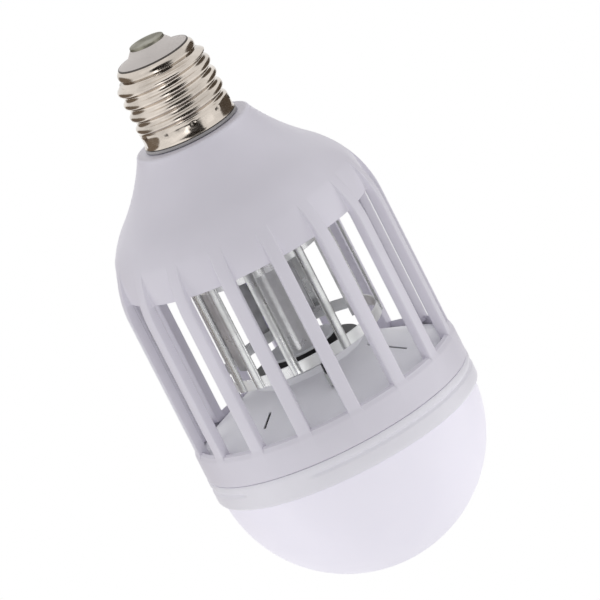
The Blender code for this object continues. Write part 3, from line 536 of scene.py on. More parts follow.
def dress_node(name, material):
    """Puts a finish on a CAD node that stays as it is."""
    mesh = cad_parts[name].data
    if not mesh.materials:
        mesh.materials.append(material)
    for index in range(len(mesh.materials)):
        mesh.materials[index] = material


# Cap
def make_contact():
    edge = arc((CONTACT_RADIUS - 0.3 * MM, -0.3 * MM), 0.3 * MM, pi / 2, 0.0, 5)
    dish = [(0.0, -0.12 * MM), (2.2 * MM, -0.12 * MM), (2.7 * MM, -0.02 * MM), (3.4 * MM, 0.0)]
    foot = [(CONTACT_RADIUS, -CONTACT_THICKNESS), (0.0, -CONTACT_THICKNESS)]
    piece = turned("contact_button", dish + edge + foot, 64, closed=False)
    dress(piece, MATERIALS["contact"], "contact_metal", "centre_contact")


def make_insulator():
    """Matt cone under the contact. It spreads in a hollow curve and goes under the shell's lip."""
    top = -CONTACT_THICKNESS
    cone, knee = Vector(INSULATOR_CONE), Vector(INSULATOR_KNEE)
    lip = Vector((SHELL_LIP[0] - 0.2 * MM, LIP_SHADE_TOP))
    hollow = []
    for step in range(9):
        share = step / 8
        hollow.append(tuple(cone.lerp(knee, share).lerp(knee.lerp(lip, share), share)))
    tip, edge = INSULATOR_TIP_RADIUS, 0.2 * MM
    outline = [(0.0, top), (tip - edge, top), (tip, top - edge)]
    under = lip.y - INSULATOR_SKIRT
    outline += [*hollow, (lip.x - SHELL_SHEET, under), (0.0, under)]
    piece = turned("insulator_cone", outline, 96, closed=False)
    dress(piece, MATERIALS["insulator"], "grey_insulator", "cap_insulator")
    # A dark ring, painted in as the shadow line between the insulator and the shell's lip.
    inner, outer = lip.x - 0.15 * MM, lip.x + 0.3 * MM
    lip_shade = [(inner, lip.y), (outer - 0.15 * MM, lip.y - 0.02 * MM), (outer, lip.y - 0.2 * MM)]
    lip_shade += [(outer, lip.y - LIP_SHADE_DEPTH), (inner, lip.y - LIP_SHADE_DEPTH)]
    dress(turned("lip_shade_ring", lip_shade, 96), MATERIALS["lip_shade"], "grey_insulator")


def thread_radius(bearing, z):
    """Outer radius of the rolled thread: rounded crests that climb to the right."""
    phase = (z - THREAD_CREST_Z - THREAD_PITCH * bearing / (2 * pi)) / THREAD_PITCH
    away = abs(phase - round(phase)) * THREAD_PITCH
    slope = 2 * atan2(2 * THREAD_DEPTH, THREAD_PITCH)
    bend = THREAD_PITCH / (4 * sin(slope))
    if away < THREAD_PITCH / 4:
        drop = bend - sqrt(bend**2 - away**2)
    else:
        drop = THREAD_DEPTH - bend + sqrt(bend**2 - (THREAD_PITCH / 2 - away) ** 2)
    root = THREAD_CREST_RADIUS - THREAD_DEPTH
    started = blend_in(THREAD_TOP - z, 0.0, THREAD_RUN_IN)
    radius = THREAD_TOP_RADIUS + (root - THREAD_TOP_RADIUS + THREAD_DEPTH - drop) * started
    return SKIRT_RADIUS + (radius - SKIRT_RADIUS) * blend_in(z - THREAD_BOTTOM, 0.0, THREAD_RUN_OUT)


def shell_outline():
    """The shell's outline: rolled lip and bead, then the heights of the thread and the skirt.

    A radius of None is found later, because it changes round the shell.
    """
    bead = arc(SHELL_BEAD, SHELL_BEAD_RADIUS, radians(70), radians(-55), 18)
    points = [SHELL_LIP, *bead, SHELL_GROOVE]
    step = (THREAD_BOTTOM - THREAD_TOP) / THREAD_ROWS
    points += [(None, THREAD_TOP + step * row) for row in range(THREAD_ROWS + 1)]
    step = (SKIRT_BOTTOM - THREAD_BOTTOM) / SKIRT_ROWS
    points += [(None, THREAD_BOTTOM + step * (row + 1)) for row in range(SKIRT_ROWS)]
    return points


def skirt_radius(z):
    """The plain skirt, a little flared where it is rolled over the neck ring."""
    return SKIRT_RADIUS + SKIRT_FLARE * blend_in(-z, -SKIRT_BOTTOM - 0.5 * MM, -SKIRT_BOTTOM)


def skirt_dents(bearing, z):
    """Flats between the punch marks and uneven hollows, which the crimping leaves in the skirt."""
    below_thread = blend_in(THREAD_BOTTOM + THREAD_RUN_OUT - z, 0.0, THREAD_RUN_OUT)
    above_edge = blend_in(z - SKIRT_BOTTOM, 0.0, 1.0 * MM)
    point = direction(bearing) * THREAD_CREST_RADIUS + Vector((0, 0, z))
    hollow = noise.noise(point / SKIRT_DENT_SPACING + SKIRT_DENT_SHIFT)
    flat = 0.5 - 0.5 * cos(DIMPLE_COUNT * (bearing - DIMPLE_BEARING))
    return below_thread * above_edge * (SKIRT_DENT * hollow + SKIRT_FLAT * flat)


def dimple(bearing, z):
    """Depth of the punch marks that hold the shell on the neck. A soft rim rises round each."""
    spacing = 2 * pi / DIMPLE_COUNT
    offset = (bearing - DIMPLE_BEARING + spacing / 2) % spacing - spacing / 2
    away = hypot(offset * THREAD_CREST_RADIUS, z - DIMPLE_Z)
    pit = max(0.0, 1 - away / DIMPLE_RADIUS)
    raised = DIMPLE_RIM * blend_in(1.9 * DIMPLE_RADIUS - away, 0.0, 0.9 * DIMPLE_RADIUS)
    return DIMPLE_DEPTH * pit - raised * (1 - pit)


def make_screw_shell():
    """Rolled sheet cap. A tube is cut into rows, and each point goes to the thread's surface."""
    outline = shell_outline()
    bpy.ops.object.select_all(action="DESELECT")
    bpy.ops.mesh.primitive_cylinder_add(
        vertices=SHELL_COLUMNS, radius=1.0, depth=1.0, end_fill_type="NOTHING"
    )
    piece = begin("threaded_shell")
    bpy.ops.mesh.select_all(action="DESELECT")
    shape = bmesh.from_edit_mesh(piece.data)
    for edge in shape.edges:
        edge.select = abs(edge.verts[0].co.z - edge.verts[1].co.z) > 0.5
    bmesh.update_edit_mesh(piece.data)
    bpy.ops.mesh.subdivide(number_cuts=len(outline) - 2)
    bpy.ops.object.mode_set(mode="OBJECT")
    marks = piece.data.attributes.new("punch_mark", "FLOAT", "POINT")
    for vert in piece.data.vertices:
        row = round((0.5 - vert.co.z) * (len(outline) - 1))
        radius, z = outline[row]
        bearing = atan2(vert.co.x, -vert.co.y)
        if radius is None:
            radius = thread_radius(bearing, z) if z > THREAD_BOTTOM else skirt_radius(z)
            pit = dimple(bearing, z)
            radius -= pit + skirt_dents(bearing, z)
            # Marks the bottoms of the pits, where the nickel paints in shade.
            marks.data[vert.index].value = blend_in(pit, 0.15 * DIMPLE_DEPTH, 0.6 * DIMPLE_DEPTH)
        vert.co = direction(bearing) * radius + Vector((0, 0, z))
    bpy.ops.object.mode_set(mode="EDIT")
    clean_up(piece)
    facing = sum(face.normal.dot(Vector((*face.center.xy, 0.0))) for face in piece.data.polygons)
    if facing < 0:  # an open tube can come out of the recalculation inside out
        piece.data.flip_normals()
    apply_modifier(piece, "SOLIDIFY", thickness=SHELL_SHEET, offset=-1.0, use_rim=True)
    dress(piece, MATERIALS["nickel"], "nickel_plate", "screw_shell", smooth=60)


def make_neck_ring():
    low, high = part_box("neck_ring")
    edge = 0.3 * MM
    outer = high.x - 0.2 * MM
    outline = [(NECK_RING_BORE, high.z), *arc((outer - edge, high.z - edge), edge, pi / 2, 0.0, 4)]
    outline += [(outer, low.z), (NECK_RING_BORE, low.z)]
    piece = turned("neck_washer", outline, 96)
    dress(piece, MATERIALS["neck"], "black_plastic", "neck_ring")


# Housing
def neck_centre():
    """Centre of the neck's arc, which touches the shoulder's arc and passes through the top rim."""
    shoulder = Vector((CAGE_RADIUS - SHOULDER_ARC_RADIUS, SHOULDER_END))
    rim = Vector((HOUSING_RIM_RADIUS, HOUSING_TOP - HOUSING_TOP_ROUND))
    reach = SHOULDER_ARC_RADIUS + NECK_ARC_RADIUS
    across = rim - shoulder
    along = (across.length**2 + reach**2 - NECK_ARC_RADIUS**2) / (2 * across.length)
    aside = sqrt(reach**2 - along**2)
    unit = across.normalized()
    return shoulder + unit * along + Vector((unit.y, -unit.x)) * aside


def shoulder_line(offset, highest, steps):
    """Points (r, z) down the neck and shoulder, from a height to the straight wall.

    The line is moved inwards by offset.
    """
    centre = neck_centre()
    shoulder = (CAGE_RADIUS - SHOULDER_ARC_RADIUS, SHOULDER_END)
    meet = atan2(centre.y - shoulder[1], centre.x - shoulder[0])
    start = pi + asin((centre.y - highest) / (NECK_ARC_RADIUS + offset))
    neck = arc(centre, NECK_ARC_RADIUS + offset, start, pi + meet, steps)
    return neck + arc(shoulder, SHOULDER_ARC_RADIUS - offset, meet, 0.0, steps)[1:]


def crossing(line, z):
    """The (r, z) point of a falling line of points at a height."""
    for (r, top), (next_r, bottom) in zip(line, line[1:]):
        if top >= z >= bottom:
            share = (top - z) / (top - bottom)
            return (r + (next_r - r) * share, z)
    return (line[-1][0], z)


def rib_columns():
    """Bearings from one rib's middle to the next, each with the share of the recess that it takes.

    The share is 0 on the rib and 1 in the panel, with a rounded edge and foot between them.
    """
    half = asin(RIB_WIDTH / 2 / CAGE_RADIUS)
    columns = [(0.0, 0.0)]
    for step in range(5):
        turn = step * pi / 8
        inset = RIB_EDGE_ROUND * (1 - sin(turn)) / CAGE_RADIUS
        columns.append((half - inset, RIB_EDGE_ROUND * (1 - cos(turn)) / PANEL_RECESS))
    draft = 0.05 * MM / CAGE_RADIUS
    for step in range(4):
        turn = step * pi / 6
        out = PANEL_FOOT_ROUND * (1 - cos(turn)) / CAGE_RADIUS
        columns.append((half + draft + out, 1 - PANEL_FOOT_ROUND * (1 - sin(turn)) / PANEL_RECESS))
    start = columns[-1][0]
    middle = PITCH_ANGLE / 2
    columns += [(start + (middle - start) * step / 4, 1.0) for step in range(1, 4)]
    mirrored = [(PITCH_ANGLE - bearing, share) for bearing, share in reversed(columns)]
    return columns + [(middle, 1.0)] + mirrored


def outer_rows():
    """(r, z, recess) down the outside to the band, and which rows are the slot's top and foot."""
    line = shoulder_line(0.0, HOUSING_TOP - HOUSING_TOP_ROUND, 24)
    rows = [(r, z, 0.0) for r, z in line if z > PANEL_CREASE + 0.3 * MM]
    steps = 14
    for step in range(steps):
        share = step / steps
        z = PANEL_CREASE + (SLOT_TOP + SLOT_LIP_ROUND - PANEL_CREASE) * share
        rows.append((*crossing(line, z), PANEL_RECESS * share ** 1.15))
    for turn in (0.0, pi / 6, pi / 3, pi / 2):
        z = SLOT_TOP + SLOT_LIP_ROUND * (1 - sin(turn))
        rows.append((*crossing(line, z), PANEL_RECESS + SLOT_LIP_ROUND * (1 - cos(turn))))
    top = len(rows) - 1
    rows += [(*crossing(line, z), PANEL_RECESS) for z in (-61.4 * MM, -62.6 * MM, -63.8 * MM)]
    steps = 9
    crest = SLOT_BOTTOM + SLOT_SILL_RISE
    heights = [SHOULDER_END + (crest - SHOULDER_END) * step / steps for step in range(steps + 1)]
    rows += [(CAGE_RADIUS, z, PANEL_RECESS) for z in heights]
    step_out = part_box("cage_housing")[1].x - CAGE_RADIUS
    rows += [(CAGE_RADIUS, SLOT_BOTTOM + 0.8 * MM, PANEL_RECESS)]
    rows += [(CAGE_RADIUS + 0.1 * step_out, SLOT_BOTTOM + 0.35 * MM, 0.6 * PANEL_RECESS)]
    rows += [(CAGE_RADIUS + 0.4 * step_out, SLOT_BOTTOM, 0.2 * PANEL_RECESS)]
    foot = len(rows) - 1
    rows += [(CAGE_RADIUS + 0.8 * step_out, SLOT_BOTTOM - 0.45 * MM, 0.05 * PANEL_RECESS)]
    rows += [(CAGE_RADIUS + step_out, SLOT_BOTTOM - 1.0 * MM, 0.0)]
    return rows, top, foot


def make_housing():
    """One moulding. One rib pitch is modelled, then spun round into sixteen."""
    columns = rib_columns()
    least = RIB_EDGE_ROUND / PANEL_RECESS - 1e-6
    slot = [index for index, (_, share) in enumerate(columns) if share >= least]
    first, last = slot[0], slot[-1]
    in_slot = set(range(first, last + 1))
    rib_halves = (set(range(first + 1)), set(range(last, len(columns))))
    in_rib = rib_halves[0] | rib_halves[1]
    low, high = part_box("cage_housing")
    band, bottom = high.x, low.z
    band_bore, cage_bore = band - WALL, CAGE_RADIUS - RIB_DEPTH
    foot_round = 0.2 * MM
    shape = bmesh.new()

    def row(r, z, recess=0.0, wanted=None):
        """One row of points across the pitch, as {column: point}."""
        found = {}
        for index, (bearing, share) in enumerate(columns):
            if wanted is None or index in wanted:
                spot = direction(RIB_BEARING + bearing) * (r - recess * share)
                found[index] = shape.verts.new((spot.x, spot.y, z))
        return found

    def skin(upper, lower, wanted=None):
        """Faces between two rows, where both have points."""
        for index in range(len(columns) - 1):
            after = index + 1
            corners = [upper.get(index), lower.get(index), lower.get(after), upper.get(after)]
            if None not in corners and (wanted is None or {index, after} <= wanted):
                shape.faces.new(corners)

    rows, top, foot = outer_rows()
    sill = foot - 3  # the row level with the sill's crest
    outside = []
    for index, spot in enumerate(rows):
        outside.append(row(*spot, in_rib if top < index < foot else None))
    for index, (upper, lower) in enumerate(zip(outside, outside[1:])):
        if top <= index < foot:
            for half in rib_halves:
                skin(upper, lower, half)
        else:
            skin(upper, lower)
    lower_end = [(band, bottom + foot_round), (band - foot_round, bottom)]
    lower_end += [(band_bore, bottom), (band_bore, RIB_BOTTOM)]
    lower_end = [row(*spot) for spot in lower_end]
    for upper, lower in zip([outside[-1], *lower_end], lower_end):
        skin(upper, lower)
    sill_rows = [row(CAGE_RADIUS - 0.3 * MM, SLOT_BOTTOM + 0.4 * MM, wanted=in_slot)]
    sill_rows += [row(band_bore, SLOT_BOTTOM + SLOT_SILL_RISE, wanted=in_slot), lower_end[-1]]
    for upper, lower in zip([outside[foot], *sill_rows], sill_rows):
        skin(upper, lower, in_slot)
    rib_head = row(cage_bore, SLOT_TOP)
    backs = [rib_head]
    backs += [row(cage_bore, z, -PANEL_RECESS, in_rib) for _, z, _ in rows[top + 1 : sill + 1]]
    rib_foot = row(cage_bore, RIB_BOTTOM, wanted=in_rib)
    for upper, lower in zip([*backs, rib_foot], [*backs[1:], rib_foot, lower_end[-1]]):
        for half in rib_halves:
            skin(upper, lower, half)
    skin(rib_head, outside[top], in_slot)
    for index in (first, last):
        uppers, lowers = outside[top:], outside[top + 1 : sill]
        for upper, lower, back, next_back in zip(uppers, lowers, backs, backs[1:]):
            shape.faces.new((upper[index], lower[index], next_back[index], back[index]))
        outer = [found[index] for found in outside[sill - 1 : foot + 1]]
        crest = sill_rows[1][index]
        shape.faces.new((outer[0], outer[1], crest, backs[-1][index], backs[-2][index]))
        shape.faces.new((*outer[1:], sill_rows[0][index], crest))
        shape.faces.new((crest, lower_end[-1][index], rib_foot[index], backs[-1][index]))
    inside_line = []
    for r, z in shoulder_line(WALL, HOUSING_TOP - WALL, 10):
        if z > SLOT_TOP + 0.5 * MM and r < cage_bore:
            inside_line.append((r, z))
    start = rows[0]
    top_round = arc((start[0] - HOUSING_TOP_ROUND, start[1]), HOUSING_TOP_ROUND, pi / 2, 0.0, 5)
    upper_end = [*inside_line[::-1], (SPIGOT_BORE, HOUSING_TOP - WALL), (SPIGOT_BORE, high.z)]
    upper_end += [(SPIGOT_RADIUS, high.z), (SPIGOT_RADIUS, HOUSING_TOP), *top_round[:-1]]
    upper_end = [rib_head, *[row(*spot) for spot in upper_end], outside[0]]
    for upper, lower in zip(upper_end, upper_end[1:]):
        skin(upper, lower)
    piece = from_mesh_code("housing_shell", shape)
    others = RIB_COUNT - 1
    bpy.ops.mesh.spin(
        steps=others, dupli=True, angle=PITCH_ANGLE * others, center=(0, 0, 0), axis=(0, 0, 1)
    )
    clean_up(piece)
    dress(piece, MATERIALS["housing"], "white_plastic", "cage_housing")


# Electrodes and lamp post
def bent_strip(name, outline, heights):
    """A strip of sheet that faces -Y: a section of (x, radius) points, pulled down."""
    piece = begin_from_point(name, (outline[0][0], -outline[0][1], heights[0]))
    for (x, r), (next_x, next_r) in zip(outline, outline[1:]):
        pull((next_x - x, r - next_r, 0))
    bpy.ops.mesh.select_all(action="SELECT")
    for z, next_z in zip(heights, heights[1:]):
        pull((0, 0, next_z - z))
    clean_up(piece)
    apply_modifier(piece, "SOLIDIFY", thickness=GRID_SHEET, offset=0.0, use_rim=True)
    soften(piece, 0.1 * MM, 2, 50)
    return piece


def joined(name, pieces):
    bpy.ops.object.select_all(action="DESELECT")
    for piece in pieces:
        piece.select_set(True)
    bpy.context.view_layer.objects.active = pieces[0]
    bpy.ops.object.join()
    piece = bpy.context.object
    piece.name = name
    return piece


def hoop(name, radius, top, bottom):
    edge = 0.12 * MM
    outer, inner = radius + GRID_SHEET / 2, radius - GRID_SHEET / 2
    outline = [(outer - edge, top), (outer, top - edge), (outer, bottom + edge)]
    outline += [(outer - edge, bottom), (inner + edge, bottom), (inner, bottom + edge)]
    outline += [(inner, top - edge), (inner + edge, top)]
    return turned(name, outline, 120)


def strips_at(name, strip, bearings):
    """Turns a copy of a strip that faces -Y to each bearing, and joins the copies."""
    strips = []
    for bearing in map(radians, bearings):
        copy = strip.copy()
        copy.data = strip.data.copy()
        bpy.context.scene.collection.objects.link(copy)
        bpy.ops.object.select_all(action="DESELECT")
        copy.select_set(True)
        bpy.context.view_layer.objects.active = copy
        bpy.ops.object.mode_set(mode="EDIT")
        bpy.ops.mesh.select_all(action="SELECT")
        bpy.ops.transform.rotate(value=-bearing, orient_axis="Z", center_override=(0, 0, 0))
        bpy.ops.object.mode_set(mode="OBJECT")
        strips.append(copy)
    bpy.data.objects.remove(strip)
    return joined(name, strips)


def make_inner_electrode():
    """Six wide strips with a fold down the middle and hemmed edges, welded inside a hoop."""
    low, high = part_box("inner_electrode")
    half, r = INNER_STRIP_WIDTH / 2, INNER_GRID_RADIUS - 0.45 * MM
    hem, fold = 0.7 * MM, 0.45 * MM
    section = [(-half, r - hem), (-half, r), (-0.25 * MM, r + fold), (0.25 * MM, r + fold)]
    section += [(half, r), (half, r - hem)]
    heights = [high.z - 0.3 * MM, high.z - INNER_HOOP_HEIGHT]
    heights += [(high.z + low.z) / 2, low.z + 1.0 * MM, low.z]
    strip = bent_strip("inner_strip", section, heights)
    piece = strips_at("folded_inner_strips", strip, INNER_STRIP_BEARINGS)
    dress(piece, MATERIALS["darkened_steel"], "tinned_steel", "inner_electrode", smooth=30)
    ring = hoop("inner_hoop", INNER_GRID_RADIUS, high.z, high.z - INNER_HOOP_HEIGHT)
    dress(ring, MATERIALS["steel"], "tinned_steel", "inner_electrode", smooth=30)


def make_outer_electrode():
    """Eleven narrow channel strips, which lap over the outside of the hoop that they hold."""
    low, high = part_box("outer_electrode")
    half, r = OUTER_STRIP_WIDTH / 2, OUTER_GRID_RADIUS + 0.3 * MM
    section = [(-half, r - 0.5 * MM), (-half, r - 0.1 * MM), (-0.6 * half, r), (0.6 * half, r)]
    section += [(half, r - 0.1 * MM), (half, r - 0.5 * MM)]
    heights = [high.z, (high.z + low.z) / 2, OUTER_HOOP[0], OUTER_HOOP[1] + 0.1 * MM]
    ring = hoop("outer_hoop", OUTER_GRID_RADIUS - 0.15 * MM, *OUTER_HOOP)
    strip = bent_strip("outer_strip", section, heights)
    strips = strips_at("outer_strips", strip, OUTER_STRIP_BEARINGS)
    dress(strips, MATERIALS["strip_steel"], "tinned_steel", "outer_electrode", smooth=30)
    dress(ring, MATERIALS["steel"], "tinned_steel", "outer_electrode", smooth=30)


def make_post_parts():
    """Post, flange at its foot, and the insulating disc with a hub that carries the flange."""
    low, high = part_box("lamp_post")
    foot = high.x + POST_FOOT_STEP
    outline = [(POST_BORE, high.z), (high.x, high.z), (high.x, low.z + 1.2 * MM)]
    outline += [(foot, low.z + 0.4 * MM), (foot, low.z), (POST_BORE, low.z)]
    dress(turned("lamp_tube", outline, 48), MATERIALS["post"], "white_plastic", "lamp_post")
    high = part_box("post_flange")[1]
    edge = 0.35 * MM
    top = high.z + FLANGE_LIFT
    under = top - FLANGE_THICKNESS
    hub = (high.x - 0.4 * MM, under - 0.05 * MM)
    outline = [(FLANGE_HOLE, top), *arc((high.x - edge, top - edge), edge, pi / 2, 0.0, 4)]
    outline += [(high.x, under + 0.2 * MM), (high.x - 0.2 * MM, under), (FLANGE_HOLE, under)]
    dress(turned("foot_flange", outline, 96), MATERIALS["flange"], "grey_insulator", "post_flange")
    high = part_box("base_disc")[1]
    edge = 0.25 * MM
    outline = [(POST_BORE, hub[1]), hub, (hub[0], high.z)]
    outline += arc((high.x - edge, high.z - edge), edge, pi / 2, -pi / 2, 6)
    outline.append((POST_BORE, high.z - 2 * edge))
    dress(turned("insulating_disc", outline, 96), MATERIALS["black"], "black_plastic", "base_disc")


# Lower end
def slit_block(bearing, radius, height, slope, size):
    """A block that lies along the deck's slope, with its middle at a radius and a height."""
    bpy.ops.object.select_all(action="DESELECT")
    bpy.ops.mesh.primitive_cube_add(size=1.0)
    block = begin("slit_block")
    bpy.ops.transform.resize(value=size)
    bpy.ops.transform.rotate(value=-atan(slope), orient_axis="X", center_override=(0, 0, 0))
    bpy.ops.transform.translate(value=(0, -radius, height))
    bpy.ops.transform.rotate(value=-radians(bearing), orient_axis="Z", center_override=(0, 0, 0))
    bpy.ops.object.mode_set(mode="OBJECT")
    return block


def make_deck():
    """Conical floor with a soft shoulder round the disc, and four narrow slits, each with a black
    block under it as painted shade.
    """
    low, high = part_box("deck_cone")
    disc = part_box("base_disc")[1].x
    slope = (high.z - DECK_EDGE_TOP) / (high.x - disc)

    def top(r):
        fall = max(0.0, r - disc) * slope
        return high.z - fall * blend_in(r, disc - 1e-6, disc + DECK_SOFT_EDGE) ** 0.35

    radii = [disc] + [disc + (high.x - disc) * step / 16 for step in range(1, 16)] + [high.x]
    step_top, step_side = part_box("base_disc")[1].z - 0.52 * MM, disc - 0.2 * MM
    surface = [(DECK_SEAT_RADIUS, step_top), (step_side - 0.3 * MM, step_top)]
    surface += [(step_side, step_top - 0.3 * MM), (step_side + 0.02 * MM, high.z + 0.4 * MM)]
    surface += [(r, top(r)) for r in radii]
    under = [(high.x, low.z), (high.x - DECK_THICKNESS, low.z)]
    under += [(r, z - DECK_THICKNESS) for r, z in reversed(surface) if r <= high.x - DECK_THICKNESS]
    piece = turned("sloping_deck", surface + under, 120)
    slit_shades = []
    for bearing, start, end in SLITS:
        middle, length = (start + end) / 2, end - start
        cutter = slit_block(bearing, middle, top(middle), slope, (SLIT_WIDTH, length, SLIT_CUT))
        apply_modifier(piece, "BOOLEAN", operation="DIFFERENCE", object=cutter, solver="EXACT")
        bpy.data.objects.remove(cutter)
        # A black block under each slit, painted in as the shade inside it.
        size = (SLIT_WIDTH * SLIT_SHADE_SPREAD, length * SLIT_SHADE_SPREAD, SLIT_SHADE_THICKNESS)
        slit_shades.append(slit_block(bearing, middle, top(middle) - SLIT_SHADE_DEPTH, slope, size))
    dress(piece, MATERIALS["deck"], "white_plastic", "deck_cone")
    dress(joined("slit_shadows", slit_shades), MATERIALS["black"], "black_plastic")


def make_foot_bosses():
    """Grey bosses that hide the lower halves of the black feet."""
    bosses = []
    for index in range(3):
        low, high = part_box(f"electrode_foot_{index + 1}")
        middle = (low + high) / 2
        bpy.ops.object.select_all(action="DESELECT")
        height = FOOT_BOSS_TOP - low.z
        place = (middle.x, middle.y, low.z + height / 2)
        bpy.ops.mesh.primitive_cylinder_add(
            vertices=24, radius=FOOT_BOSS_RADIUS, depth=height, location=place
        )
        boss = begin("foot_boss")
        bpy.ops.object.mode_set(mode="OBJECT")
        bosses.append(boss)
    piece = joined("foot_bosses", bosses)
    soften(piece, 0.3 * MM, 3, 50)
    dress(piece, MATERIALS["boss"], "grey_insulator")


def make_collar():
    """Ring under the cage. Its shallow groove stops on both sides of two plain stretches."""
    low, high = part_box("lamp_collar")
    r = high.x
    bore = r - COLLAR_WALL
    rows = [(bore, COLLAR_TOP), (r - 0.2 * MM, COLLAR_TOP), (r, COLLAR_TOP - 0.2 * MM)]
    steps = 14
    for step in range(steps + 1):
        rows.append((r, GROOVE_Z + GROOVE_HALF_WIDTH * (1 - 2 * step / steps)))
    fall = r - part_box("diffuser_dome")[1].x
    start = low.z + COLLAR_FOOT_ROUND
    for step in range(7):
        turn = step * pi / 12
        rows.append((r - fall * (1 - cos(turn)), start - COLLAR_FOOT_ROUND * sin(turn)))
    rows.append((bore, low.z))
    piece = turned("grooved_collar", rows, 240)
    for vert in piece.data.vertices:
        away = abs(vert.co.z - GROOVE_Z) / GROOVE_HALF_WIDTH
        if away < 1 and hypot(vert.co.x, vert.co.y) > r - 0.5 * MM:
            bearing = atan2(vert.co.x, -vert.co.y)
            offset = abs((bearing - GROOVE_GAP_BEARING + pi / 2) % pi - pi / 2)
            open_share = blend_in(offset, GROOVE_GAP / 2, GROOVE_GAP / 2 + GROOVE_RUN_OUT)
            vert.co.xy *= 1 - GROOVE_DEPTH * (0.5 + 0.5 * cos(pi * away)) * open_share / r
    dress(piece, MATERIALS["collar"], "white_plastic", "lamp_collar", smooth=60)


def make_dome():
    low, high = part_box("diffuser_dome")
    r = high.x
    centre = (0.0, low.z + r)
    outline = arc(centre, r, -pi / 2, 0.0, 40)
    outline += [(r, high.z), (r - DOME_WALL, high.z)]
    outline += arc(centre, r - DOME_WALL, 0.0, -pi / 2, 30)
    piece = turned("frosted_bowl", outline, 120, closed=False)
    dress(piece, MATERIALS["dome"], "frosted_diffuser", "diffuser_dome", smooth=60)


# Stage
def make_camera():
    data = bpy.data.cameras.new("camera")
    data.sensor_width = SENSOR
    data.lens = SENSOR * CAMERA_DISTANCE / CAMERA_FIELD
    data.clip_start, data.clip_end = 0.05, 50.0
    camera = bpy.data.objects.new("camera", data)
    bpy.context.scene.collection.objects.link(camera)
    look = Vector((0, cos(CAMERA_ELEVATION), -sin(CAMERA_ELEVATION)))
    right, up = Vector((1, 0, 0)), Vector((0, sin(CAMERA_ELEVATION), cos(CAMERA_ELEVATION)))
    tilted_up = up * cos(CAMERA_ROLL) + right * sin(CAMERA_ROLL)
    tilted_right = right * cos(CAMERA_ROLL) - up * sin(CAMERA_ROLL)
    turn = Matrix((tilted_right, tilted_up, -look)).transposed().to_4x4()
    camera.matrix_world = Matrix.Translation(CAMERA_AIM - look * CAMERA_DISTANCE) @ turn
    bpy.context.scene.camera = camera


def seen_rays(tree):
    """1 for what the camera sees, directly or mirrored, and 0 for light on the object."""
    path = add(tree, "ShaderNodeLightPath")
    seen = math_node(tree, "ADD", path.outputs["Is Camera Ray"], path.outputs["Is Glossy Ray"])
    return math_node(tree, "ADD", seen, path.outputs["Is Transmission Ray"], clamp=True)


def stand_off(thing, aim, bearing, elevation, distance):
    """Puts a thing at a distance from a point, facing it. The angles are in degrees."""
    level, rise = cos(radians(elevation)), sin(radians(elevation))
    out = direction(radians(bearing)) * level + Vector((0, 0, rise))
    thing.location = aim + out * distance
    thing.rotation_euler = (-out).to_track_quat("-Z", "Y").to_euler()


def make_world():
    """White for the camera and for reflections, and a softer level for the light on the object."""
    world = bpy.data.worlds.new("studio")
    bpy.context.scene.world = world
    world.use_nodes = True
    tree = world.node_tree
    background = tree.nodes["Background"]
    background.inputs["Color"].default_value = (1, 1, 1, 1)
    level = map_range(tree, seen_rays(tree), 0.0, 1.0, AMBIENT, 1.0)
    tree.links.new(level, background.inputs["Strength"])


def make_lamp(name, bearing, elevation, distance, size, power, mirrored=True):
    """A soft box on a bearing and at an elevation seen from the bulb's middle, facing it."""
    data = bpy.data.lights.new(name, "AREA")
    data.shape = "RECTANGLE"
    data.size, data.size_y = size
    data.energy = power
    lamp = bpy.data.objects.new(name, data)
    bpy.context.scene.collection.objects.link(lamp)
    stand_off(lamp, LAMPS_AIM, bearing, elevation, distance)
    lamp.visible_glossy = mirrored


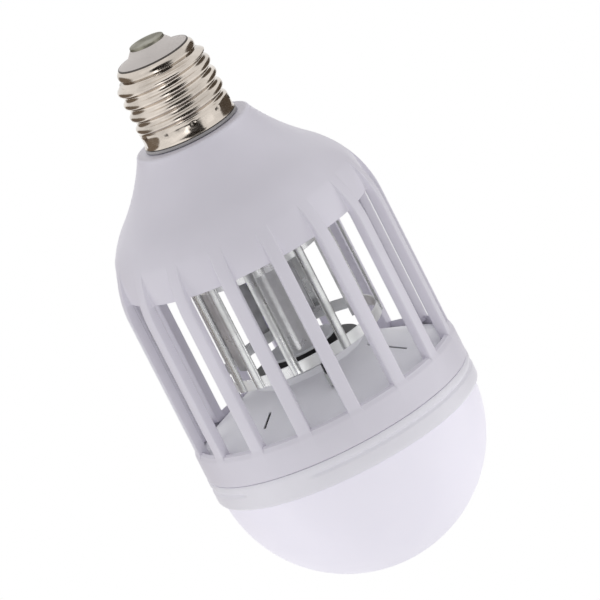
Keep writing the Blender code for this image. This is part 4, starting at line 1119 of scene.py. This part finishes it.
def make_card(name, bearing, elevation, distance, size, shade):
    """A dark card that only reflections in the metal show."""
    bpy.ops.object.select_all(action="DESELECT")
    bpy.ops.mesh.primitive_circle_add(vertices=48, radius=0.5, fill_type="NGON")
    card = bpy.context.object
    card.name = name
    card.scale = (*size, 1.0)
    stand_off(card, CARDS_AIM, bearing, elevation, distance)
    material, _, shader = start_material(name + " card")
    shader.inputs["Base Color"].default_value = (0.0, 0.0, 0.0, 1.0)
    shader.inputs["Roughness"].default_value = 1.0
    shader.inputs["Specular IOR Level"].default_value = 0.0
    shader.inputs["Emission Color"].default_value = (*tinted(CARD_TINT, shade), 1.0)
    shader.inputs["Emission Strength"].default_value = 1.0
    card.data.materials.append(material)
    card.visible_camera = False
    card.visible_diffuse = False
    card.visible_shadow = False


def make_floor():
    bpy.ops.object.select_all(action="DESELECT")
    bpy.ops.mesh.primitive_plane_add(size=14.0, location=(0, 0, FLOOR_Z))
    surface = bpy.context.object
    surface.name = "floor"
    material, tree, shader = start_material("pale floor")
    shader.inputs["Base Color"].default_value = (0.9, 0.9, 0.9, 1.0)
    shader.inputs["Roughness"].default_value = 0.9
    shader.inputs["Emission Color"].default_value = (1, 1, 1, 1)
    glow = math_node(tree, "MULTIPLY", seen_rays(tree), FLOOR_GLOW)
    tree.links.new(glow, shader.inputs["Emission Strength"])
    surface.data.materials.append(material)


# Build
make_camera()
make_world()
make_floor()
make_lamp("key", -40, 45, 1.5, (1.2, 1.2), 0.7)
make_lamp("low_front", 5, -28, 1.5, (1.3, 0.9), 4.4)
make_lamp("left_back", -105, -6, 1.5, (1.0, 1.2), 6.0, mirrored=False)
make_lamp("right_back", 100, -6, 1.5, (1.0, 1.2), 6.0, mirrored=False)
make_card("front_card", 4, 14, 0.7, (0.92, 0.78), 0.02)
make_card("low_card", 16, -26, 0.7, (0.60, 0.46), 0.01)
make_card("right_card", 120, -3, 0.9, (1.10, 0.90), 0.10)
make_card("left_card", -123, -10, 0.9, (1.10, 0.90), 0.20)

make_contact()
make_insulator()
make_screw_shell()
make_neck_ring()
make_housing()
make_inner_electrode()
make_outer_electrode()
make_post_parts()
make_deck()
make_foot_bosses()
make_collar()
make_dome()

for finish, names in FINISHES.items():
    for name in names:
        dress_node(name, MATERIALS[finish])

bpy.context.scene.view_settings.view_transform = "Standard"
